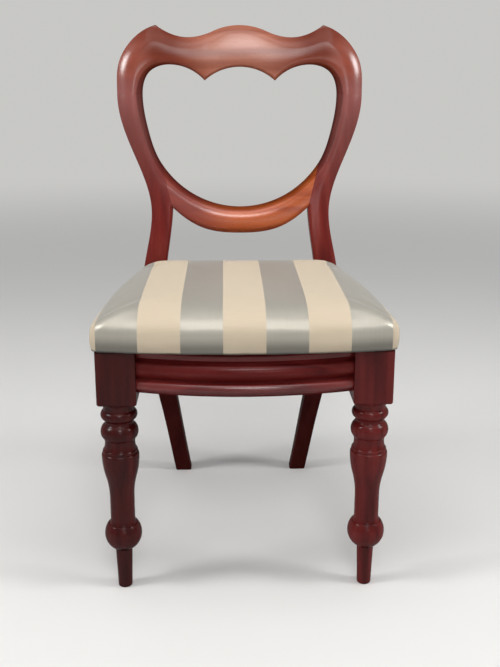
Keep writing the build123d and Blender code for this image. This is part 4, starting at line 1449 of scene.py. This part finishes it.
@dataclass
class SeatShape:
    """Plan and rise of the stuffed seat. Sizes in millimetres, heights above the rails."""

    places: Places
    front_bow: float = 19.0
    quarter_sag: float = 0.2525
    side_swell: float = 9.0
    front_corner: float = 28.0
    back_corner: float = 30.0
    least_corner: float = 5.0
    back_narrowing: float = 44.0
    widest: float = 24.0
    draw_in: float = 0.028
    low_corner: float = 8.0
    side_fullness: float = 2.8
    front_fullness: float = 3.4
    steepness: float = 0.72
    crown_lift: float = -2.5
    low_rings: int = 8
    high_rings: int = 28

    def __post_init__(self) -> None:
        """Read the seat's box from the frame."""
        low, high = self.places.seat_low / MM, self.places.seat_high / MM
        self.front_half = (high.x - low.x) / 2
        self.back_half = self.front_half - self.back_narrowing
        self.front_y, self.back_y = low.y, high.y
        self.middle = np.array((0.0, (low.y + high.y) / 2))
        self.base, self.crown = low.z, high.z
        self.front_centre = (self.front_half - self.front_corner,
                             self.front_y + self.front_bow + self.front_corner)
        self.back_centre = (self.back_half - self.back_corner, self.back_y - self.back_corner)

    def plan(self, inset: float = 0.0, count: int = 240, corner: float | None = None) -> np.ndarray:
        """Outline of the widest line, drawn in all round, with its corners rounded.

        Args:
            inset: distance from the outline.
            count: number of points.
            corner: radius of the front corners, where it isn't the usual one.

        Returns:
            Array of points that starts in the middle of the front and goes round to the right.
        """
        front_half, back_half = self.front_half - inset, self.back_half - inset
        front, back = self.front_y + inset, self.back_y - inset
        corner_y = front + self.front_bow
        flank = ((front_half + back_half) / 2 + self.side_swell, (corner_y + back) / 2)
        quarter = (front_half / 2, front + self.front_bow * self.quarter_sag)
        front_arc = arc_through((0, front), quarter, (front_half, corner_y), 60)
        side_arc = arc_through((front_half, corner_y), flank, (back_half, back), 120)
        front_r = max((corner or self.front_corner) - inset, self.least_corner)
        back_r = max(self.back_corner - inset, self.least_corner)
        half = self._eased(joined(front_arc, side_arc), front_r)
        half = self._eased(joined(half, straight((back_half, back), (0, back), 60)), back_r)
        outline = np.concatenate([half, mirrored(half)[::-1][1:-1]])
        closed = np.concatenate([outline, outline[:1]])
        return resampled(closed, np.linspace(0, 1, count, endpoint=False))

    @staticmethod
    def _eased(run: np.ndarray, radius: float) -> np.ndarray:
        """A run whose sharpest corner is replaced by an arc of a radius."""
        steps = np.diff(run, axis=0)
        heading = np.unwrap(np.arctan2(steps[:, 1], steps[:, 0]))
        corner = int(np.abs(np.diff(heading)).argmax()) + 1
        turn = abs(heading[corner] - heading[corner - 1])
        reach = radius * math.tan(turn / 2)
        along = np.concatenate([[0], np.cumsum(np.linalg.norm(steps, axis=1))])
        start, end = along[corner] - reach, along[corner] + reach
        total = along[-1]
        before = resampled(run, np.linspace(0, start / total, 80))
        after = resampled(run, np.linspace(end / total, 1, 80))
        arc = tangent_arc(tuple(before[-1]), tuple(after[0]), tuple(before[-1] - before[-2]), 24)
        return joined(before, arc, after)

    def outlines(self, plan: np.ndarray, low_plan: np.ndarray) -> list[np.ndarray]:
        """Rings of points from the base to just under the crown, fuller at the front.

        Args:
            plan: outline of the widest line.
            low_plan: outline that the rings turn to towards the base.

        Returns:
            The rings, from the lowest up.
        """
        reach = plan - self.middle
        widest = self.base + self.widest
        rise_height = self.crown + self.crown_lift - widest
        step = np.roll(plan, -1, axis=0) - np.roll(plan, 1, axis=0)
        facing = smoothstep(0.3, 0.95, np.abs(step[:, 0]) / np.linalg.norm(step, axis=1))
        fullness = self.side_fullness + (self.front_fullness - self.side_fullness) * facing
        rings = []
        for drop in np.linspace(1, 0, self.low_rings + 1)[:-1]:
            outward = (1 - self.draw_in * drop**2) * (reach + drop * (low_plan - plan))
            rings.append(at_height(self.middle + outward, widest - drop * self.widest))
        for number in range(self.high_rings):
            rise = math.sin(math.pi / 2 * number / self.high_rings) ** self.steepness
            share = (1 - rise**fullness) ** (1 / fullness)
            inward = share[:, None] * reach
            rings.append(at_height(self.middle + inward, widest + rise * rise_height))
        return rings

    def pad(self, name: str, inset: float, floor: float) -> bpy.types.Object:
        """A closed pad, smaller all round by an inset, that stands on a height."""
        rings = self.outlines(self.plan(inset), self.plan(inset, corner=self.low_corner))
        for ring in rings:
            sunk = inset * float(smoothstep(0, 30, ring[0, 2] - self.base))
            ring[:, 2] = np.maximum(floor, ring[:, 2] - sunk)
        lowest = rings[0][:, :2]
        if floor < self.base:
            rings.insert(0, at_height(lowest, floor))
        rings.insert(0, at_height(self.middle + 0.9 * (lowest - self.middle), floor))
        return loft(name, np.array(rings) * MM)


CLOTH_SETTINGS = {
    "quality": 6, "mass": 0.3, "tension_stiffness": 18, "compression_stiffness": 18,
    "shear_stiffness": 8, "bending_stiffness": 1.2, "use_pressure": True,
    "uniform_pressure_force": 4, "vertex_group_mass": "held",
}


@dataclass
class SeatCover:
    """The striped cover, swelled by cloth simulation and turned under the frame.

    The bands are heights in millimetres above the base, or slopes, at which an effect starts and
    is full. The ripples and sags are waves: turns round the seat, phase and share.
    """

    shape: SeatShape
    voxel: float = 5 * MM
    swell_cap: float = 3.2 * MM
    start_inset: float = -0.5
    turn_in: float = 9.0
    held_height: float = 4.0
    frames: int = 20
    ripples: tuple[Point3, ...] = ((23, 0.6, 0.6), (41, 2.0, 0.4))
    sags: tuple[Point3, ...] = ((11, 1.1, 0.5), (17, 0.0, 0.5))
    ripple_depth: float = 0.7 * MM
    sag_depth: float = 0.5 * MM
    pleat_depth: float = 1.5 * MM
    pleat_width: float = 2.2
    lip_depth: float = 0.8 * MM
    lip_place: float = 5.5
    lip_width: float = 4.0
    base_gap: float = 0.05 * MM
    roll_start: float = 40.0
    facing_band: Point = (0.2, 0.6)
    ripple_band: Point = (26, 4)
    sag_band: Point = (10, 3)
    corner_band: Point = (6, 14)
    foot_band: Point = (1, 6)
    pleat_band: Point = (40, 33)
    lip_band: Point = (42, 30)
    # Bands of painted shade on the lower cover and of painted shadow at its bottom edge.
    low_shade_band: Point = (28, 7)
    edge_shadow_band: Point = (3.5, 1.0)

    def build(self) -> bpy.types.Object:
        """Make, swell and dress the cover."""
        base = self.shape.base
        piece = self.shape.pad("seat_cover_cloth", self.start_inset, base - self.turn_in)
        remesh = piece.modifiers.new("remesh", "REMESH")
        remesh.mode, remesh.voxel_size = "VOXEL", self.voxel
        applied(piece)
        self._swell(piece)
        smooth = piece.modifiers.new("smooth", "CORRECTIVE_SMOOTH")
        smooth.factor, smooth.iterations, smooth.use_only_smooth = 0.5, 6, True
        divide = piece.modifiers.new("divide", "SUBSURF")
        divide.levels = divide.render_levels = 1
        applied(piece)
        self._pull_in(piece)
        self._lay_cloth(piece)
        piece.data.polygons.foreach_set("use_smooth", [True] * len(piece.data.polygons))
        dress(piece, StripedSatin(), "seat_cover", Body.SEAT)
        return piece

    def _swell(self, piece: bpy.types.Object) -> None:
        """Blow the pad up a little with its underside held, and cap how far it moves."""
        start = corners(piece)
        held = piece.vertex_groups.new(name="held")
        low = (self.shape.base + self.held_height) * MM
        held.add([int(i) for i in np.flatnonzero(start[:, 2] < low)], 1.0, "REPLACE")
        settings = piece.modifiers.new("cloth", "CLOTH").settings
        for name, value in CLOTH_SETTINGS.items():
            setattr(settings, name, value)
        settings.effector_weights.gravity = 0
        scene = bpy.context.scene
        for number in range(1, self.frames + 1):
            scene.frame_set(number)
        applied(piece)
        scene.frame_set(1)
        moved = corners(piece) - start
        length = np.linalg.norm(moved, axis=1, keepdims=True)
        capped = moved * np.minimum(1, self.swell_cap / np.maximum(length, 1e-9))
        set_corners(piece, start + capped)
        piece.vertex_groups.clear()

    def _pull_in(self, piece: bpy.types.Object) -> None:
        """Draw the lower edge in unevenly and sink a pleat with a lip into each front corner."""
        places, facing = corners(piece), corners(piece, "normal")
        shape = self.shape
        height = places[:, 2] / MM - shape.base
        bearing = np.arctan2(places[:, 0], shape.middle[1] * MM - places[:, 1])
        ripple, sag = (
            sum(share * np.sin(bearing * turns + phase) for turns, phase, share in waves)
            for waves in (self.ripples, self.sags)
        )
        level = np.hypot(facing[:, 0], facing[:, 1])
        low_band = smoothstep(*self.ripple_band, height) * smoothstep(*self.facing_band, level)
        places -= facing * (ripple * low_band * self.ripple_depth)[:, None]
        places[:, 2] += sag * self.sag_depth * smoothstep(*self.sag_band, height)
        sideways = np.abs(places[:, 0]) / MM - shape.front_centre[0]
        forwards = shape.front_centre[1] - places[:, 1] / MM
        away = (sideways - forwards) / math.sqrt(2)
        outside = smoothstep(*self.corner_band, (sideways + forwards) / math.sqrt(2))
        foot = smoothstep(*self.foot_band, height)
        groove = np.exp(-((away / self.pleat_width) ** 2))
        groove = groove * smoothstep(*self.pleat_band, height) * foot
        lip = np.exp(-(((away + self.lip_place) / self.lip_width) ** 2))
        lip = lip * smoothstep(*self.lip_band, height) * foot
        places -= facing * ((groove * self.pleat_depth - lip * self.lip_depth) * outside)[:, None]
        places[:, 2] = np.maximum(places[:, 2], shape.base * MM + self.base_gap)
        set_corners(piece, places)

    def _lay_cloth(self, piece: bpy.types.Object) -> None:
        """Store how far each point lies across and along the cloth, measured over the surface,
        and the painted shade on its lower band and the painted shadow at its bottom edge.
        """
        places, facing = corners(piece) / MM, corners(piece, "normal")
        shape = self.shape
        x, y, z = places.T
        reach, height = np.abs(x), z - shape.base
        past_front = reach - shape.front_centre[0] > shape.front_centre[1] - y
        past_back = reach - shape.back_centre[0] > y - shape.back_centre[1]
        sideways = past_front & past_back & (np.hypot(facing[:, 0], facing[:, 1]) > 0.1)
        drop = np.maximum(shape.base + self.roll_start - z, 0)
        store(
            piece,
            cloth_across=(x + np.sign(x) * drop * sideways) * MM,
            cloth_along=(y + np.sign(y - shape.middle[1]) * drop * ~sideways) * MM,
            cloth_low=smoothstep(*self.low_shade_band, height),
            cloth_edge=smoothstep(*self.edge_shadow_band, height),
        )


@dataclass
class SeatInside:
    """What the cover hides: stuffing, hessian and webbing, and the lining below."""

    shape: SeatShape
    stuffing_inset: float = 6.0
    stuffing_floor: float = 1.5
    hollow_gap: float = 0.3
    hollow_depth: float = 5.0
    frame_inset: float = 19.0
    web_width: float = 50.0
    web_margin: float = 8.0
    webs: int = 4
    web_steps: int = 96
    lining_inset: float = 55.8

    def build(self) -> None:
        """Make and dress all of them."""
        self._stuffing()
        self._webbing()
        self._flat_cloth(
            "hessian",
            PlainWeave("hessian_weave", 2.2 * MM, (0.16, 0.10, 0.045), (0.42, 0.31, 0.17)),
            "seat_hessian", self.frame_inset + 3.0, (0.02, 0.05),
        )
        self._flat_cloth(
            "bottom_cloth",
            PlainWeave("lining_cotton", 0.9 * MM, (0.008, 0.008, 0.009), (0.028, 0.027, 0.026),
                       0.35),
            "seat_lining", self.lining_inset, (0.05, 0.15),
        )

    def _stuffing(self) -> None:
        """The stuffing under the cover, hollow over the seat frame."""
        shape = self.shape
        hollow_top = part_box("hessian")[1].z / MM
        floor = shape.base + self.stuffing_floor
        piece = shape.pad("seat_stuffing_hair", self.stuffing_inset, floor)
        plan = shape.plan(self.frame_inset - self.hollow_gap, 120)
        levels = (shape.base - self.hollow_depth, hollow_top + self.hollow_gap)
        rings = np.array([at_height(plan, z) for z in levels])
        combined(piece, loft("stuffing_hollow", rings * MM), "DIFFERENCE")
        tidy_mesh(piece)
        dress(piece, CurledHair(), "seat_stuffing", Body.SEAT)

    def _webbing(self) -> None:
        """Strips of webbing woven over and under each other and strained over the frame."""
        low, high = (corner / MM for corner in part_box("webbing"))
        floor, thick = low.z, (high.z - low.z) / 2
        points: list[Point3] = []
        faces: list[list[int]] = []
        outermost = self.shape.back_half - self.frame_inset - self.web_margin - self.web_width / 2
        centres_x = np.linspace(-outermost, outermost, self.webs)
        centres_y = np.linspace(low.y + self.web_width / 2, high.y - self.web_width / 2, self.webs)
        strips = [((x, low.y), (x, high.y), centres_y, number % 2)
                  for number, x in enumerate(centres_x)]
        for number, y in enumerate(centres_y):
            reach = self._frame_half(y) - self.web_margin
            strips.append(((-reach, y), (reach, y), centres_x, (number + 1) % 2))
        length = sum(self._strip(points, faces, floor, thick, *strip) for strip in strips)
        piece = mesh_object("seat_webbing", np.array(points) * MM, faces)
        cloth = PlainWeave("webbing_jute", 1.6 * MM, (0.20, 0.13, 0.06), (0.50, 0.37, 0.20))
        dress(piece, cloth, "webbing", Body.SEAT)

    def _frame_half(self, y: float) -> float:
        """Half-width of the seat frame's outline at a depth."""
        plan = self.shape.plan(self.frame_inset, 480)
        right = plan[plan[:, 0] > 0]
        return float(right[np.abs(right[:, 1] - y).argsort()[:4], 0].min())

    def _strip(self, points: list[Point3], faces: list[list[int]], floor: float, thick: float,
               start: Point, end: Point, crossings: np.ndarray, under: int) -> float:
        """Add one strip that rises and dips at its crossings.

        Args:
            points: corners of all strips, which the new ones are added to.
            faces: faces of all strips.
            floor: height of the underside.
            thick: thickness of one layer.
            start: middle of one end.
            end: middle of the other.
            crossings: places of the strips that it crosses.
            under: 1 if it goes under the first of them and 0 if over.

        Returns:
            Its length.
        """
        begin, finish = np.array(start), np.array(end)
        run = np.linalg.norm(finish - begin)
        along = (finish - begin) / run
        side = np.array((-along[1], along[0])) * self.web_width / 2
        axis = 1 if abs(along[1]) > 0.5 else 0
        first, last = len(points), len(points) + 4 * self.web_steps
        for share in np.linspace(0, 1, self.web_steps + 1):
            spot = begin + share * (finish - begin)
            nearest = int(np.abs(crossings - spot[axis]).argmin())
            gap = abs(crossings[nearest] - spot[axis]) / (self.web_width * 0.75)
            up = (nearest + under) % 2
            level = thick * (0.5 + (0.5 if up else -0.5) * float(smoothstep(1.0, 0.55, gap)))
            points += [(*(spot + edge), z) for z in (floor + level, floor + level + thick * 0.9)
                       for edge in (-side, side)]
        for a in range(first, last, 4):
            b = a + 4
            faces += [[a, a + 1, b + 1, b], [a + 3, a + 2, b + 2, b + 3],
                      [a + 2, a, b, b + 2], [a + 1, a + 3, b + 3, b + 1]]
        faces += [[first, first + 2, first + 3, first + 1], [last + 1, last + 3, last + 2, last]]
        return run

    def _flat_cloth(self, node: str, cloth: PlainWeave, name: str, inset: float,
                    gaps: Point) -> None:
        """A flat cloth, with rings of faces so that it can take a shape.

        Args:
            node: node that it replaces, whose box it lies in.
            cloth: its finish.
            name: name of the piece.
            inset: distance of its edge from the seat's outline.
            gaps: how far it is clear of the box below, and how much thinner it is.
        """
        low, high = (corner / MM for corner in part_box(node))
        floor, thick = low.z + gaps[0], high.z - low.z - gaps[1]
        plan, middle = self.shape.plan(inset, 180), self.shape.middle
        shares = (1.0, 0.75, 0.5, 0.25)
        layers = ((floor, shares[::-1]), (floor + thick, shares))
        rings = [at_height(middle + share * (plan - middle), z)
                 for z, order in layers for share in order]
        piece = dress(loft(name, np.array(rings) * MM), cloth, node, Body.SEAT)


# Floor, lights and camera


@dataclass(frozen=True)
class Lamp:
    """A soft rectangular lamp that faces a target.

    Attributes:
        name: its name.
        place: where it hangs.
        width: its width.
        height: its height.
        power: its power in watts.
        target: what it faces, which is the middle of the chair unless said otherwise.
    """

    name: str
    place: Point3
    width: float
    height: float
    power: float
    target: Point3 = (0, 0, 0.5)

    def hang(self) -> None:
        """Put the lamp into the scene."""
        data = bpy.data.lights.new(self.name, "AREA")
        data.shape, data.energy = "RECTANGLE", self.power
        data.size, data.size_y = self.width, self.height
        lamp = bpy.data.objects.new(self.name, data)
        lamp.location = self.place
        aim = Vector(self.target) - Vector(self.place)
        lamp.rotation_euler = aim.to_track_quat("-Z", "Y").to_euler()
        bpy.context.scene.collection.objects.link(lamp)


@dataclass
class Studio:
    """Plain pale floor and soft lamps, with the camera where the photograph was taken from."""

    floor_size: float = 14.0
    floor_colour: Colour = (0.74, 0.73, 0.71)
    backdrop: Colour = (0.58, 0.575, 0.56)
    world_colour: Colour = (0.92, 0.95, 1.0)
    world_light: float = 0.20
    fade_middle: float = 3.2
    fade_reach: float = 2.2
    camera_place: Point3 = (-0.0283, -1.5653, 0.8119)
    pitch: float = 16.189
    pan: float = 1.515
    roll: float = 0.068
    lens: float = 51.27
    sensor: float = 36.0
    lamps: tuple[Lamp, ...] = (
        Lamp("ceiling_lamp", (0, 0, 4.2), 8.0, 8.0, 52),
        Lamp("key_lamp", (0.2, -3.0, 2.9), 1.0, 0.8, 36),
        Lamp("front_lamp", (0.5, -3.4, 1.25), 0.9, 0.7, 7),
        Lamp("top_lamp", (0.0, -0.65, 2.3), 1.6, 1.4, 16, (0, -0.55, 0.45)),
        Lamp("left_lamp", (-2.2, -0.75, 1.9), 0.65, 0.8, 33),
        Lamp("right_lamp", (2.2, -0.65, 1.8), 0.65, 0.8, 31),
    )

    def build(self) -> None:
        """Make the floor, the lamps, the world and the camera."""
        self._floor()
        for lamp in self.lamps:
            lamp.hang()
        self._world()
        self._camera()

    def _floor(self) -> None:
        """A large pale floor that passes into the backdrop far from the chair."""
        half = self.floor_size / 2
        edges = [(-half, -half, 0), (half, -half, 0), (half, half, 0), (-half, half, 0)]
        floor = mesh_object("studio_floor", np.array(edges), [[0, 1, 2, 3]])
        shader = Shader("studio_floor")
        mottle = shader.noise(shader.place(), 3.0, 3.0)
        darker = tuple(0.97 * share for share in self.floor_colour)
        colour = shader.mix(mottle, darker, self.floor_colour)
        near = shader.node("BsdfPrincipled", Roughness=0.85, **{"Base Color": colour})
        far = shader.node("Emission", Color=self.backdrop, Strength=1.0)
        away = (shader.axis(0) ** 2.0 + shader.axis(1) ** 2.0) ** 0.5
        share = away.above(self.fade_middle, self.fade_reach) * self._seen(shader)
        surface = shader.node("MixShader", in_0=share, in_1=near, in_2=far)
        shader.node("OutputMaterial", Surface=surface)
        floor.data.materials.append(shader.owner)

    @staticmethod
    def _seen(shader: Shader) -> Wire:
        """1 for rays that come from the camera, off a glossy surface or through glass."""
        camera, glossy, through = (
            shader.node("LightPath", output=f"Is {kind} Ray")
            for kind in ("Camera", "Glossy", "Transmission")
        )
        either = shader.math("MAXIMUM", camera, glossy)
        return shader.math("MAXIMUM", either, through)

    def _world(self) -> None:
        """Soft light from all round, and the pale backdrop that the camera and the polish see."""
        world = bpy.data.worlds.new("studio_world")
        shader = Shader("studio_world", world)
        light = shader.node("Background", Color=self.world_colour, Strength=self.world_light)
        backdrop = shader.node("Background", Color=self.backdrop, Strength=1.0)
        surface = shader.node("MixShader", in_0=self._seen(shader), in_1=light, in_2=backdrop)
        shader.node("OutputWorld", Surface=surface)
        bpy.context.scene.world = world

    def _camera(self) -> None:
        """The camera, with the photograph's place, direction and angle of view."""
        data = bpy.data.cameras.new("camera")
        data.sensor_fit, data.sensor_width, data.lens = "AUTO", self.sensor, self.lens
        camera = bpy.data.objects.new("camera", data)
        turn = (
            Matrix.Rotation(math.radians(-self.pan), 4, "Z")
            @ Matrix.Rotation(math.radians(90 - self.pitch), 4, "X")
            @ Matrix.Rotation(math.radians(self.roll), 4, "Z")
        )
        camera.matrix_world = Matrix.Translation(self.camera_place) @ turn
        bpy.context.scene.collection.objects.link(camera)
        bpy.context.scene.camera = camera
        bpy.context.scene.view_settings.view_transform = "Standard"


def main() -> None:
    """Build every sub-assembly in order."""
    logging.basicConfig(level=logging.INFO, format="%(message)s")
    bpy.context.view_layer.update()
    places = Places.from_frame()
    Studio().build()
    BalloonBack(BackShape(places)).build()
    leg = TurnedLeg(places)
    for side, seed in (("right", 8.3), ("left", 9.6)):
        leg.build(side, seed)
    FrontRail(places).build()
    HiddenTimber().build()
    seat = SeatShape(places)
    SeatCover(seat).build()
    SeatInside(seat).build()


if __name__ == "__main__":
    main()
